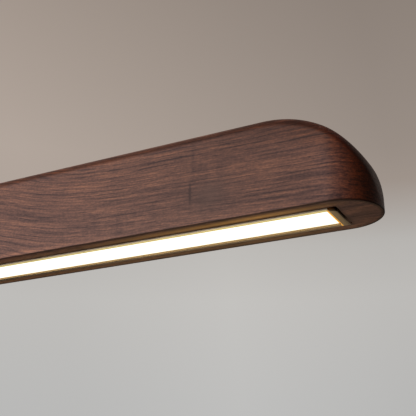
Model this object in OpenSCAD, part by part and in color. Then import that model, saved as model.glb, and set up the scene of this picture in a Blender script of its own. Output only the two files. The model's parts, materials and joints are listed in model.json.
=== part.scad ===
// Linear pendant lamp: a walnut bar with a light channel let into its underside, hung on two wires.
// Millimetres, X along the bar, Z up. The origin lies midway between the mouths of the two wire grippers.

/* [Bar] */
// Length of the wooden bar over both tips
bar_length = 1200; // [1000:10:1800]
// Width of the bar, which is also the diameter of its half-round ends in plan
bar_width = 60; // [54:1:80]
// Height of the bar
bar_height = 70; // [64:1:90]
// Radius of the arc that brings the top down to each tip
sweep_radius = 78.5; // [64:0.5:110]
// Height above the underside at which that arc reaches the tip
tip_height = 20.5; // [16:0.5:30]
// Rounding along the top edges
top_edge_r = 8; // [3:0.5:12]
// Easing along the bottom edges
bottom_edge_r = 1; // [0.5:0.1:2]
// Wood left above the inner cavity
top_web = 14; // [12:1:18]
// Width of the inner cavity
cavity_width = 32; // [31:0.5:40]
// Room in the cavity past the pieces at its two ends
cavity_margin = 20; // [10:1:40]
// Radius of the cavity's corners
cavity_corner_r = 6; // [3:0.5:10]

/* [Light channel] */
// Outer width of the channel
channel_width = 34.5; // [33:0.5:42]
// Height of the channel from lip to back
channel_height = 20; // [18:0.5:23]
// Side walls of the channel
channel_wall = 1.6; // [1.2:0.1:2.2]
// Back web of the channel, which carries the boards
web_t = 2; // [1.6:0.1:3]
// Width of each lip seen from below
lip_width = 3; // [2.4:0.1:4]
// Height of each lip, which is the depth of the diffuser in the mouth
lip_height = 1.3; // [0.8:0.1:2]
// Height of the ribs that hold the diffuser down
rib_height = 1; // [0.6:0.1:2]
// How far the lips stand below the wood
channel_proud = 1.2; // [0.2:0.1:3]
// Thickness of the diffuser
diffuser_t = 1.6; // [1:0.1:2.4]
// Wood from the outer face of an end cap to the tip
end_margin = 27.5; // [24:0.5:60]
// Thickness of the end caps
end_cap_t = 5.4; // [4:0.1:8]
// Gap between an end cap and the end of its pocket
pocket_end_gap = 1; // [0.5:0.1:4]
// Radius of the pocket's corners
pocket_corner_r = 1; // [1:0.5:6]
// Outer radius of the screw ports along the channel's inner corners
port_r = 2.6; // [2.2:0.1:3]
// Shank diameter of the end cap screws
cap_screw_d = 2.5; // [2:0.1:2.9]
// Depth to which they reach into the channel
cap_screw_reach = 8; // [5:1:14]

/* [Light boards] */
// Width of the light boards
board_width = 20; // [14:1:22]
// Thickness of the light boards
board_t = 1.6; // [1:0.1:2]
// Gap between two boards, where the leads come through
board_gap = 14; // [13:0.5:24]
// Clearance between the outer boards and the end caps
board_end_gap = 2; // [1:0.5:6]
// Target spacing of the light chips
led_pitch = 16; // [12:1:30]
// Length of a light chip
led_length = 3.5; // [2:0.1:5]
// Width of a light chip
led_width = 2.8; // [1.5:0.1:5]
// Height of a light chip
led_height = 0.7; // [0.4:0.1:1.2]
// Shank diameter of the board screws
board_screw_d = 3; // [2:0.1:3.5]
// Shank diameter of the channel screws, which go into the wood
channel_screw_d = 3.2; // [2.5:0.1:4]
// Depth to which the channel screws reach into the wood
channel_screw_reach = 16; // [8:1:24]

/* [Suspension] */
// Distance between the two wires
suspension_spacing = 400; // [340:10:600]
// Wire that the balls are set for
grip_wire_d = 1.2; // [1:0.1:1.4]
// Bore of the release plunger
wire_bore_d = 1.5; // [1.4:0.1:1.8]
// Diameter of a gripper barrel
barrel_d = 13; // [12:0.5:18]
// Height of a gripper barrel
barrel_h = 22; // [20:0.5:28]
// Diameter of the gripping balls
ball_d = 2.2; // [2:0.1:2.6]
// Half angle of the cone that wedges the balls
cone_angle = 10; // [8:0.5:12]
// Height of a plunger's nose that still stands out when it is pressed
nose_left = 3.5; // [2:0.5:6]
// Travel of a plunger when it is pressed
plunger_travel = 2.5; // [1.5:0.1:3]
// Room left between the turns of the spring when the plunger is pressed
spring_spare = 1.5; // [0.5:0.1:2]
// Wire of the plunger's spring
spring_wire_d = 0.5; // [0.4:0.05:0.6]
// Turns of the plunger's spring
spring_turns = 5; // [4:1:6]
// Outer diameter of the hollow studs
stud_d = 8; // [7:0.5:9]
// Bore of the hollow studs
stud_bore_d = 2.4; // [2:0.1:3]
// Diameter of the rings between gripper and wood
seat_ring_d = 20; // [18:0.5:30]
// Thickness of those rings
seat_ring_t = 1.6; // [1:0.1:3]
// Length of the hanger plates
hanger_length = 60; // [50:1:80]
// Width of the hanger plates
hanger_width = 28; // [24:1:31]
// Thickness of the hanger plates
hanger_t = 3; // [2:0.5:5]
// Distance between the two screws of a hanger plate
hanger_screw_spacing = 40; // [34:1:48]
// Shank diameter of the hanger screws
hanger_screw_d = 3.8; // [3:0.1:4.5]
// Depth to which the hanger screws reach into the wood
hanger_screw_reach = 9; // [6:0.5:10]
// Height of the nuts on the hollow studs
hanger_nut_h = 6.5; // [5:0.5:8]
// Width across the flats of those nuts
hanger_nut_af = 13; // [12:0.5:17]
// Diameter of the washers under those nuts
hanger_washer_d = 16; // [15:0.5:22]
// Thickness of those washers
hanger_washer_t = 1.6; // [1:0.1:2.5]

/* [Flex inlet] */
// Bore through the gland, its seal and its cap
flex_bore_d = 6.4; // [5:0.1:7]
// Threaded diameter of the gland
gland_thread_d = 10; // [9.5:0.1:12]
// Diameter of the gland's flange
gland_flange_d = 17; // [16:0.5:24]
// Thickness of the gland's flange
gland_flange_t = 3; // [2:0.5:5]
// Diameter of the gland's cap
gland_cap_d = 15; // [14.5:0.5:20]
// Thickness of the cap's crown
gland_crown_t = 2.5; // [1.5:0.1:4]
// Height of the threaded collar above the flange
gland_collar_h = 7; // [6:0.5:10]
// Height of the rubber seal
gland_seal_h = 4.5; // [3:0.1:5.5]
// Wall of the rubber seal
gland_seal_wall = 1; // [0.6:0.1:1.2]
// Height of the gland's nut
gland_nut_h = 4; // [3:0.5:6]
// Width across the flats of the gland's nut
gland_nut_af = 15; // [14:0.5:20]

/* [Driver] */
// Length of the driver's case
driver_length = 128; // [110:1:160]
// Width of the driver's case
driver_width = 28; // [26:0.5:31]
// Height of the driver over its base
driver_height = 20; // [19:0.5:24]
// Wall of the driver's cover
driver_wall = 1.5; // [1:0.1:2]
// Thickness of the driver's base plate
driver_base_t = 1.5; // [1:0.1:2.5]
// Length of the fixing ears at the two ends of the base
driver_ear = 11; // [9:0.5:16]
// Height of the posts under the driver's board
driver_post_h = 3; // [2:0.5:4]
// Thickness of the driver's board
driver_board_t = 1.6; // [1:0.1:2]
// Length of the transformer
transformer_length = 24; // [18:0.5:30]
// Width of the transformer
transformer_width = 20; // [14:0.5:22]
// Height of the transformer
transformer_h = 11; // [8:0.5:11]
// Diameter of the capacitors
capacitor_d = 10; // [6:0.5:10.5]
// Height of the capacitors
capacitor_h = 11; // [8:0.5:11.5]
// Outer diameter of the choke
choke_d = 16; // [12:0.5:18]
// Thickness of the choke's wound ring
choke_wire_d = 6; // [4:0.5:7]
// Shank diameter of the screws that hold driver and terminal block
module_screw_d = 2.5; // [2:0.1:2.8]

/* [Terminal block] */
// Length of the terminal block along the bar
terminal_length = 18; // [16:0.5:24]
// Height of the terminal block
terminal_h = 13; // [12:0.5:16]
// Distance between two poles
pole_pitch = 10; // [9.6:0.1:10.6]
// Bore of a pole
pole_bore_d = 3.6; // [3:0.1:3.8]
// Height of the bores above the channel
pole_z = 6; // [5:0.5:6.5]
// Gap between the driver's ear and the terminal block
terminal_gap = 8; // [5:0.5:20]

/* [Leads] */
// Diameter of the mains leads
mains_lead_d = 2.2; // [1.6:0.1:2.6]
// Diameter of the low-voltage leads
dc_lead_d = 1.6; // [1:0.1:2]
// Bore of the grommet
grommet_bore_d = 6; // [5:0.1:7]
// Wall of the grommet inside the web
grommet_wall = 1; // [0.8:0.1:1.5]
// Overhang of the grommet's flanges
grommet_flange = 1.5; // [1:0.1:1.8]
// Height of the low-voltage leads above the channel
lead_rise = 6; // [5.5:0.5:9]

/* [Fits] */
// Gap between channel and pocket on each side
pocket_gap = 1; // [0.2:0.05:1.5]
// Gap round the diffuser in its slot
slide_gap = 0.2; // [0.1:0.05:0.4]
// Radial gap of a screwed fit
thread_gap = 0.05; // [0.02:0.01:0.1]
// Radial gap of a clearance hole
hole_gap = 0.2; // [0.1:0.05:0.4]
// Radial gap of the plunger in its neck
running_gap = 0.05; // [0.02:0.01:0.1]
// Radial gap of the balls in the plunger's cage
ball_gap = 0.1; // [0.06:0.01:0.15]

/* [Hidden] */
$fn = 64;
// Extra reach of a cutter past the face that it opens
cut = 1;
left = -1;
right = 1;

// Heights, from the mouths of the grippers down to the lips of the channel
mouth_z = 0;
nose_out = nose_left + plunger_travel;
barrel_top = mouth_z - nose_out;
barrel_base = barrel_top - barrel_h;
bar_top = barrel_base - seat_ring_t;
bar_bottom = bar_top - bar_height;
cavity_top = bar_top - top_web;
lip_z = bar_bottom - channel_proud;
channel_top = lip_z + channel_height;
web_under = channel_top - web_t;
board_under = web_under - board_t;

// Lengths along the bar
half_length = bar_length / 2;
cap_outer_x = half_length - end_margin;
channel_half = cap_outer_x - end_cap_t;
pocket_length = 2 * (cap_outer_x + pocket_end_gap);
pocket_width = channel_width + 2 * pocket_gap;
board_length = (2 * channel_half - 2 * board_end_gap - 2 * board_gap) / 3;
board_step = board_length + board_gap;
joint_x = board_step / 2;
driver_end_x = driver_length / 2 + driver_ear;
terminal_x = driver_end_x + terminal_gap + terminal_length / 2;
hanger_x = suspension_spacing / 2;
grommet_r = grommet_bore_d / 2 + grommet_wall;
cavity_reach = max(hanger_x + hanger_length / 2, joint_x + grommet_r + grommet_flange,
                   terminal_x + terminal_length / 2);
cavity_length = 2 * (cavity_reach + cavity_margin);

// The bar's outline: stations along its far side from the right tip to the left tip
plan_r = bar_width / 2;
plan_centre_x = half_length - plan_r;
arc_rise = tip_height - bar_height + sweep_radius;
sweep_start_x = half_length - sqrt(pow(sweep_radius, 2) - pow(arc_rise, 2));
end_steps = 12;
side_steps = 6;
edge_steps = 4;
ease_steps = 2;
end_half = [for (i = [0:end_steps]) [1, i * 90 / end_steps, plan_centre_x]];
side_half = [for (i = [1:side_steps])
    [1, 90, plan_centre_x + (sweep_start_x - plan_centre_x) * i / side_steps]];
right_half = concat(end_half, side_half);
half_count = len(right_half);
left_half = [for (i = [half_count - 1:-1:0]) [-1, right_half[i][1], right_half[i][2]]];
far_side = concat(right_half, left_half);
near_side = [for (i = [len(far_side) - 2:-1:1]) far_side[i]];
ring_count = len(far_side) + len(near_side);

// Channel profile
channel_inner = channel_width / 2 - channel_wall;
mouth_half = channel_width / 2 - lip_width;
slot_z = lip_z + lip_height;
slot_top = slot_z + diffuser_t + slide_gap;
rib_top = slot_top + rib_height;
port_merge = 0.4;
port_y = channel_inner - port_r + port_merge;
port_z = web_under - port_r + port_merge;
cap_screw_head_d = 2 * cap_screw_d;
cap_screw_head_h = (cap_screw_head_d - cap_screw_d) / 2;

// Chips and screws between them
led_count = floor(board_length / led_pitch);
led_step = board_length / led_count;
board_screw_x = between_chips(board_length / 4);
channel_screw_first = cavity_length / 2 + led_step;
channel_screw_last = channel_half - 2 * led_step;
channel_screw_count = 3;
pan_head_factor = 1.8;
pan_head_rise = 0.6;
tip_gap = 0.2;
component_gap = 0.2;

// Gripper
ball_r = ball_d / 2;
ball_ring_r = grip_wire_d / 2 + ball_r;
ball_play = 0.03;
cage_lip = 0.4;
neck_step = 0.25;
cage_r = ball_ring_r + cage_lip;
nose_r = cage_r - neck_step;
neck_r = nose_r + running_gap;
neck_t = 2.1;
shoulder_play = 0.25;
cage_rim = 1.2;
flange_t = 1;
flange_gap = 0.25;
neck_under = barrel_top - neck_t;
shoulder_z = neck_under - shoulder_play;
ball_z = shoulder_z - ball_r - cage_rim;
flange_top = ball_z - ball_r - cage_rim;
flange_under = flange_top - flange_t;
spring_length = spring_turns * spring_wire_d + plunger_travel + spring_spare;
chamber_floor = flange_under - spring_length;
cone_r_at_ball = ball_ring_r + (ball_r + ball_play) / cos(cone_angle);
flange_r = cone_r(flange_top) - flange_gap;
chamber_r = cone_r(flange_under);
socket_r = stud_d / 2 + thread_gap;
stud_tail = 2;
stud_bottom = cavity_top - hanger_t - hanger_washer_t - hanger_nut_h - stud_tail;
small_chamfer = 0.4;
barrel_chamfer = 1;
spring_r = stud_bore_d / 2 + (chamber_r - stud_bore_d / 2) / 2;
spring_rings = 8;
spring_sides = 6;

// Gland
gland_bore_r = flex_bore_d / 2;
gland_thread_r = gland_thread_d / 2;
gland_tail = 2;
gland_bottom = cavity_top - gland_nut_h - gland_tail;
gland_flange_top = bar_top + gland_flange_t;
gland_collar_top = gland_flange_top + gland_collar_h;
seal_proud = 0.5;
seal_z = gland_collar_top + seal_proud - gland_seal_h;
seal_r = gland_bore_r + gland_seal_wall;
gland_cap_foot = gland_flange_top + 0.3;
gland_crown_z = gland_collar_top + seal_proud;
gland_cap_top = gland_crown_z + gland_crown_t;

// Driver and terminal block
driver_top = channel_top + driver_height;
driver_board_z = channel_top + driver_base_t + driver_post_h;
driver_board_top = driver_board_z + driver_board_t;
driver_board_gap = 1;
driver_board_length = driver_length - 2 * driver_wall - 2 * driver_board_gap;
driver_board_width = driver_width - 2 * driver_wall - 2 * driver_board_gap;
driver_post_r = 2.5;
transformer_x = -driver_length / 8;
capacitor_x = driver_length / 4;
choke_x = -driver_length * 3 / 8;
module_screw_x = driver_end_x - driver_ear / 2;
module_screw_y = driver_width / 4;
// Line, neutral and a spare pole
pole_count = 3;
terminal_width = pole_count * pole_pitch;
terminal_seat = 3;
terminal_screw_d = 3;
terminal_screw_x = terminal_length / 4;
lead_inside = driver_wall + driver_board_gap;
mains_lead_grip = terminal_length / 2 - terminal_screw_x + terminal_screw_d / 2;
dc_lead_y = grommet_bore_d / 4;
lead_bend_r = 3;
lead_overlap = 4;
link_y = board_width / 4;

// Radius of the wedging cone at a height
function cone_r(z) = cone_r_at_ball + (ball_z - z) * tan(cone_angle);

// Place along a board, nearest to a target, that lies midway between two chips
function between_chips(x) = (round(x / led_step + led_count / 2) - led_count / 2) * led_step;

// Places of the screws that go through the outer boards and the web into the wood
function channel_screw_x(i) =
    let (target = channel_screw_first
             + (channel_screw_last - channel_screw_first) * i / (channel_screw_count - 1))
    board_step + between_chips(target - board_step);

// Height of the bar's top over its underside, at a distance from the middle
function top_height(x) = abs(x) <= sweep_start_x ? bar_height
    : bar_height - sweep_radius + sqrt(pow(sweep_radius, 2) - pow(abs(x) - sweep_start_x, 2));

// One point of the bar's plan, set in from its outline, at station s = [end, angle, centre]
function plan_point(s, side, inset) = let (r = plan_r - inset)
    [s[0] * (s[2] + r * cos(s[1])), side * r * sin(s[1])];

function plan_ring(inset) = concat(
    [for (s = far_side) plan_point(s, 1, inset)],
    [for (s = near_side) plan_point(s, -1, inset)]);

// Ring of the eased bottom edge, from the flat underside up to the upright wall
function bottom_ring(a) = [for (p = plan_ring(bottom_edge_r * (1 - sin(a))))
    [p[0], p[1], bar_bottom + bottom_edge_r * (1 - cos(a))]];

// Ring of the rounded top edge, from the upright wall over to the top
function top_ring(a) = [for (p = plan_ring(top_edge_r * (1 - cos(a))))
    [p[0], p[1], bar_bottom + top_height(p[0]) - top_edge_r * (1 - sin(a))]];

function joined(lists) = [for (l = lists) for (p = l) p];

// Triangles between one ring of n points and the next
function band(j, n) = [for (i = [0:n - 1])
    let (a = j * n + i, b = j * n + (i + 1) % n)
    each [[a, a + n, b + n], [a, b + n, b]]];

// Extrusion along the bar of a profile drawn in Y and Z
module along_bar(length) {
    rotate([90, 0, 90])
        linear_extrude(height = length, center = true)
            children();
}

// Flat plate or cutter with rounded corners, from z up by h
module rounded_block(length, width, r, z, h) {
    translate([0, 0, z])
        linear_extrude(height = h) {
            square([length - 2 * r, width], center = true);
            square([length, width - 2 * r], center = true);
            for (sx = [-1, 1], sy = [-1, 1])
                translate([sx * (length / 2 - r), sy * (width / 2 - r)])
                    circle(r = r);
        }
}

module block(length, width, z, h) {
    translate([-length / 2, -width / 2, z])
        cube([length, width, h]);
}

// Upright cylinder between two heights
module post(x, y, r, z0, z1) {
    translate([x, y, z0])
        cylinder(r = r, h = z1 - z0);
}

// Lying cylinder along the bar between two places
module rod(x0, x1, y, z, r) {
    translate([x0, y, z])
        rotate([0, 90, 0])
            cylinder(r = r, h = x1 - x0);
}

// Pan-head screw whose head sits below z and whose shank points up
module screw_up(x, y, d, z, length) {
    post(x, y, d / 2, z, z + length);
    post(x, y, d / 2 * pan_head_factor, z - d * pan_head_rise, z);
}

// Pan-head screw whose head sits above z and whose shank points down
module screw_down(x, y, d, z, length) {
    post(x, y, d / 2, z - length, z);
    post(x, y, d / 2 * pan_head_factor, z, z + d * pan_head_rise);
}

module hex_nut(x, af, bore_r, z, h) {
    translate([x, 0, z])
        difference() {
            cylinder(d = af / cos(30), h = h, $fn = 6);
            post(0, 0, bore_r, -cut, h + cut);
        }
}

// Solid bar before it is hollowed out
module bar_blank() {
    rings = concat(
        [for (i = [0:ease_steps]) bottom_ring(i * 90 / ease_steps)],
        [for (i = [0:edge_steps]) top_ring(i * 90 / edge_steps)]);
    n = ring_count;
    last = (len(rings) - 1) * n;
    far_last = len(far_side) - 1;
    walls = [for (j = [0:len(rings) - 2]) each band(j, n)];
    underside = [[for (i = [0:n - 1]) i]];
    right_tip = [last, last + n - 1, last + 1];
    left_tip = [last + far_last, last + far_last - 1, last + far_last + 1];
    top = [for (k = [1:far_last - 2])
        let (f = last + k, g = last + n - k)
        each [[g, g - 1, f + 1], [g, f + 1, f]]];
    polyhedron(joined(rings), concat(walls, underside, [right_tip, left_tip], top));
}

module wood_body() {
    color("#6a4836")
        difference() {
            bar_blank();
            rounded_block(pocket_length, pocket_width, pocket_corner_r, bar_bottom - cut,
                          channel_top - bar_bottom + cut);
            rounded_block(cavity_length, cavity_width, cavity_corner_r, channel_top - cut,
                          cavity_top - channel_top + cut);
            post(0, 0, gland_thread_r + hole_gap, cavity_top - cut, bar_top + cut);
            for (side = [left, right]) {
                post(side * hanger_x, 0, stud_d / 2 + hole_gap, cavity_top - cut, bar_top + cut);
                for (s = [-1, 1])
                    post(side * hanger_x + s * hanger_screw_spacing / 2, 0,
                         hanger_screw_d / 2 + thread_gap, cavity_top - cut,
                         cavity_top + hanger_screw_reach + cut);
                for (i = [0:channel_screw_count - 1])
                    post(side * channel_screw_x(i), 0, channel_screw_d / 2 + thread_gap,
                         channel_top - cut, channel_top + channel_screw_reach + cut);
            }
        }
}

module channel_profile() {
    difference() {
        union() {
            difference() {
                translate([-channel_width / 2, lip_z])
                    square([channel_width, channel_height]);
                translate([-channel_inner, rib_top])
                    square([2 * channel_inner, web_under - rib_top]);
                translate([-channel_inner, slot_z])
                    square([2 * channel_inner, slot_top - slot_z]);
                translate([-mouth_half, lip_z - cut])
                    square([2 * mouth_half, rib_top - lip_z + 2 * cut]);
            }
            for (s = [-1, 1])
                translate([s * port_y, port_z])
                    circle(r = port_r);
        }
        for (s = [-1, 1])
            translate([s * port_y, port_z])
                circle(d = cap_screw_d + 2 * thread_gap);
    }
}

module led_channel() {
    color("#a8967a")
        difference() {
            along_bar(2 * channel_half)
                channel_profile();
            post(-joint_x, 0, grommet_r, web_under - cut, channel_top + cut);
            for (side = [left, right]) {
                post(side * board_screw_x, 0, board_screw_d / 2 + thread_gap,
                     web_under - cut, channel_top + cut);
                post(side * module_screw_x, side * module_screw_y, module_screw_d / 2 + thread_gap,
                     web_under - cut, channel_top + cut);
                post(terminal_x, side * pole_pitch / 2, module_screw_d / 2 + thread_gap,
                     web_under - cut, channel_top + cut);
                for (i = [0:channel_screw_count - 1])
                    post(side * channel_screw_x(i), 0, channel_screw_d / 2 + hole_gap,
                         web_under - cut, channel_top + cut);
            }
        }
}

// Countersunk screw along the bar, its flat head level with the cap's outer face
module cap_screw(side, s, gap) {
    translate([side * cap_outer_x, s * port_y, port_z])
        rotate([0, -side * 90, 0]) {
            cylinder(d1 = cap_screw_head_d + 2 * gap, d2 = cap_screw_d + 2 * gap, h = cap_screw_head_h);
            cylinder(d = cap_screw_d + 2 * gap, h = end_cap_t + cap_screw_reach);
        }
}

module end_cap(side) {
    color("#9c8b70")
        difference() {
            translate([side * (channel_half + end_cap_t / 2), 0, 0])
                block(end_cap_t, channel_width, lip_z, channel_height);
            for (s = [-1, 1])
                cap_screw(side, s, thread_gap);
        }
}

module left_end_cap() {
    end_cap(left);
}

module right_end_cap() {
    end_cap(right);
}

module end_cap_screws() {
    color("#8f8f8f")
        for (side = [left, right], s = [-1, 1])
            cap_screw(side, s, 0);
}

module diffuser() {
    color("#fffdf6")
        block(2 * (channel_half - slide_gap), 2 * (channel_inner - slide_gap), slot_z, diffuser_t);
}

module led_board(k) {
    color("#e9e9e2")
        difference() {
            translate([k * board_step, 0, 0])
                block(board_length, board_width, board_under, board_t);
            for (s = [-1, 1])
                post(s * board_screw_x, 0, board_screw_d / 2 + hole_gap, board_under - cut, web_under + cut);
            for (s = [-1, 1], i = [0:channel_screw_count - 1])
                post(s * channel_screw_x(i), 0, channel_screw_d / 2 + hole_gap,
                     board_under - cut, web_under + cut);
        }
}

module left_led_board() {
    led_board(-1);
}

module middle_led_board() {
    led_board(0);
}

module right_led_board() {
    led_board(1);
}

module led_chips() {
    color("#f4dd7a")
        for (k = [-1:1], i = [0:led_count - 1])
            translate([k * board_step + (i + 0.5 - led_count / 2) * led_step, 0, 0])
                block(led_length, led_width, board_under - led_height, led_height);
}

module board_screws() {
    color("#9a9a9a")
        for (s = [-1, 1])
            screw_up(s * board_screw_x, 0, board_screw_d, board_under, board_t + web_t - tip_gap);
}

module channel_screws() {
    color("#9a9a9a")
        for (side = [left, right], i = [0:channel_screw_count - 1])
            screw_up(side * channel_screw_x(i), 0, channel_screw_d, board_under,
                     board_t + web_t + channel_screw_reach);
}

// Jumpers soldered across each joint between two boards
module board_links() {
    color("#c04030")
        for (s = [-1, 1], y = [-link_y, link_y])
            rod(s * joint_x - board_gap / 2 - lead_overlap, s * joint_x + board_gap / 2 + lead_overlap,
                y, board_under - dc_lead_d / 2, dc_lead_d / 2);
}

module web_grommet() {
    color("#2b2b2b")
        translate([-joint_x, 0, 0])
            difference() {
                union() {
                    post(0, 0, grommet_r, web_under, channel_top);
                    post(0, 0, grommet_r + grommet_flange, channel_top, channel_top + grommet_wall);
                    post(0, 0, grommet_r + grommet_flange, web_under - grommet_wall, web_under);
                }
                post(0, 0, grommet_bore_d / 2, web_under - grommet_wall - cut,
                     channel_top + grommet_wall + cut);
            }
}

// Quarter bend of a lead in the plane of X and Z, round a centre, from an angle
module lead_bend(x, y, z, from) {
    translate([x, y, z])
        rotate([90, 0, 0])
            rotate_extrude(angle = 90, start = from)
                translate([lead_bend_r, 0])
                    circle(d = dc_lead_d);
}

// Low-voltage leads: out of the driver, along the channel, down the grommet and under the middle board
module dc_leads() {
    run_z = channel_top + lead_rise;
    pad_z = board_under - dc_lead_d / 2;
    color("#a03028")
        for (y = [-dc_lead_y, dc_lead_y]) {
            rod(lead_bend_r - joint_x, lead_inside - driver_length / 2, y, run_z, dc_lead_d / 2);
            lead_bend(lead_bend_r - joint_x, y, run_z - lead_bend_r, 90);
            post(-joint_x, y, dc_lead_d / 2, pad_z + lead_bend_r, run_z - lead_bend_r);
            lead_bend(lead_bend_r - joint_x, y, pad_z + lead_bend_r, 180);
            rod(lead_bend_r - joint_x, board_gap / 2 + lead_overlap - joint_x, y, pad_z, dc_lead_d / 2);
        }
}

module mains_leads() {
    color("#3b5f9a")
        for (s = [-1, 1])
            rod(driver_length / 2 - lead_inside, terminal_x - terminal_length / 2 + mains_lead_grip,
                s * pole_pitch, channel_top + pole_z, mains_lead_d / 2);
}

module driver_base() {
    color("#b9bbbd")
        difference() {
            union() {
                block(2 * driver_end_x, driver_width, channel_top, driver_base_t);
                for (sx = [-1, 1], sy = [-1, 1])
                    post(sx * (driver_board_length / 2 - driver_post_r),
                         sy * (driver_board_width / 2 - driver_post_r),
                         driver_post_r, channel_top, driver_board_z);
            }
            for (side = [left, right])
                post(side * module_screw_x, side * module_screw_y, module_screw_d / 2 + hole_gap,
                     channel_top - cut, channel_top + driver_base_t + cut);
        }
}

module driver_cover() {
    foot = channel_top + driver_base_t;
    color("#e4e4e0")
        difference() {
            block(driver_length, driver_width, foot, driver_top - foot);
            block(driver_length - 2 * driver_wall, driver_width - 2 * driver_wall, foot - cut,
                  driver_top - driver_wall - foot + cut);
            for (s = [-1, 1]) {
                rod(0, driver_length, s * pole_pitch, channel_top + pole_z, mains_lead_d / 2 + hole_gap);
                rod(-driver_length, 0, s * dc_lead_y, channel_top + lead_rise, dc_lead_d / 2 + hole_gap);
            }
        }
}

module driver_board() {
    color("#3f7a4a")
        block(driver_board_length, driver_board_width, driver_board_z, driver_board_t);
}

// Transformer: wound bobbin between two core plates
module driver_transformer() {
    plate = transformer_length / 5;
    color("#4a4a50")
        translate([transformer_x, 0, 0]) {
            for (s = [-1, 1])
                translate([s * (transformer_length - plate) / 2, 0, 0])
                    block(plate, transformer_width, driver_board_top, transformer_h);
            rod(-transformer_length / 2, transformer_length / 2, 0,
                driver_board_top + transformer_h / 2, transformer_h / 2 - component_gap);
        }
}

module driver_capacitors() {
    color("#2f3f66")
        for (s = [-1, 1])
            post(capacitor_x, s * (capacitor_d / 2 + component_gap), capacitor_d / 2, driver_board_top,
                 driver_board_top + capacitor_h);
}

module driver_choke() {
    color("#b5773a")
        translate([choke_x, 0, driver_board_top + choke_wire_d / 2])
            rotate_extrude()
                translate([(choke_d - choke_wire_d) / 2, 0])
                    circle(d = choke_wire_d);
}

module terminal_block() {
    color("#efefe8")
        difference() {
            translate([terminal_x, 0, 0])
                block(terminal_length, terminal_width, channel_top, terminal_h);
            for (p = [0:pole_count - 1]) {
                y = (p - (pole_count - 1) / 2) * pole_pitch;
                rod(terminal_x - terminal_length, terminal_x + terminal_length, y, channel_top + pole_z,
                    pole_bore_d / 2);
                for (s = [-1, 1])
                    post(terminal_x + s * terminal_screw_x, y, terminal_screw_d / 2 + thread_gap,
                         channel_top + pole_z, channel_top + terminal_h + cut);
            }
            for (s = [-1, 1]) {
                post(terminal_x, s * pole_pitch / 2, module_screw_d / 2 + hole_gap, channel_top - cut,
                     channel_top + terminal_h + cut);
                post(terminal_x, s * pole_pitch / 2, module_screw_d / 2 * pan_head_factor + hole_gap,
                     channel_top + terminal_seat, channel_top + terminal_h + cut);
            }
        }
}

// Clamping screws of the poles, each with a driver slot
module terminal_screws() {
    slot = 0.6;
    foot = channel_top + pole_z + mains_lead_d / 2 + thread_gap;
    head = channel_top + terminal_h - 2 * slot;
    color("#c9b370")
        for (p = [0:pole_count - 1], s = [-1, 1])
            translate([terminal_x + s * terminal_screw_x, (p - (pole_count - 1) / 2) * pole_pitch, 0])
                difference() {
                    post(0, 0, terminal_screw_d / 2, foot, head);
                    block(terminal_screw_d + cut, slot, head - slot, slot + cut);
                }
}

module module_screws() {
    color("#9a9a9a")
        for (s = [-1, 1]) {
            screw_down(s * module_screw_x, s * module_screw_y, module_screw_d, channel_top + driver_base_t,
                       driver_base_t + web_t - tip_gap);
            screw_down(terminal_x, s * pole_pitch / 2, module_screw_d, channel_top + terminal_seat,
                       terminal_seat + web_t - tip_gap);
        }
}

module hanger_plate(side) {
    color("#8d9094")
        translate([side * hanger_x, 0, 0])
            difference() {
                block(hanger_length, hanger_width, cavity_top - hanger_t, hanger_t);
                post(0, 0, stud_d / 2 + hole_gap, cavity_top - hanger_t - cut, cavity_top + cut);
                for (s = [-1, 1])
                    post(s * hanger_screw_spacing / 2, 0, hanger_screw_d / 2 + hole_gap,
                         cavity_top - hanger_t - cut, cavity_top + cut);
            }
}

module left_hanger_plate() {
    hanger_plate(left);
}

module right_hanger_plate() {
    hanger_plate(right);
}

module hanger_screws() {
    color("#9a9a9a")
        for (side = [left, right], s = [-1, 1])
            screw_up(side * hanger_x + s * hanger_screw_spacing / 2, 0, hanger_screw_d,
                     cavity_top - hanger_t, hanger_t + hanger_screw_reach);
}

module hanger_washers() {
    top = cavity_top - hanger_t;
    color("#b0b2b4")
        for (side = [left, right])
            difference() {
                post(side * hanger_x, 0, hanger_washer_d / 2, top - hanger_washer_t, top);
                post(side * hanger_x, 0, stud_d / 2 + hole_gap, top - hanger_washer_t - cut, top + cut);
            }
}

module hanger_nuts() {
    color("#b0b2b4")
        for (side = [left, right])
            hex_nut(side * hanger_x, hanger_nut_af, stud_d / 2 + thread_gap,
                    cavity_top - hanger_t - hanger_washer_t - hanger_nut_h, hanger_nut_h);
}

module hollow_stud(side) {
    color("#b7a06a")
        translate([side * hanger_x, 0, 0])
            difference() {
                post(0, 0, stud_d / 2, stud_bottom, chamber_floor);
                post(0, 0, stud_bore_d / 2, stud_bottom - cut, chamber_floor + cut);
            }
}

module left_hollow_stud() {
    hollow_stud(left);
}

module right_hollow_stud() {
    hollow_stud(right);
}

module seat_ring(side) {
    r = seat_ring_d / 2;
    bore = stud_d / 2 + hole_gap;
    color("#a8967a")
        translate([side * hanger_x, 0, 0])
            rotate_extrude()
                polygon([[bore, bar_top], [r, bar_top], [r, barrel_base - small_chamfer],
                         [r - small_chamfer, barrel_base], [bore, barrel_base]]);
}

module left_seat_ring() {
    seat_ring(left);
}

module right_seat_ring() {
    seat_ring(right);
}

module gripper_barrel(side) {
    r = barrel_d / 2;
    color("#a8967a")
        translate([side * hanger_x, 0, 0])
            rotate_extrude()
                polygon([
                    [socket_r, barrel_base], [r - small_chamfer, barrel_base],
                    [r, barrel_base + small_chamfer], [r, barrel_top - barrel_chamfer],
                    [r - barrel_chamfer, barrel_top], [neck_r, barrel_top], [neck_r, neck_under],
                    [cone_r(neck_under), neck_under], [chamber_r, flange_under],
                    [chamber_r, chamber_floor], [socket_r, chamber_floor]
                ]);
}

module left_gripper_barrel() {
    gripper_barrel(left);
}

module right_gripper_barrel() {
    gripper_barrel(right);
}

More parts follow.
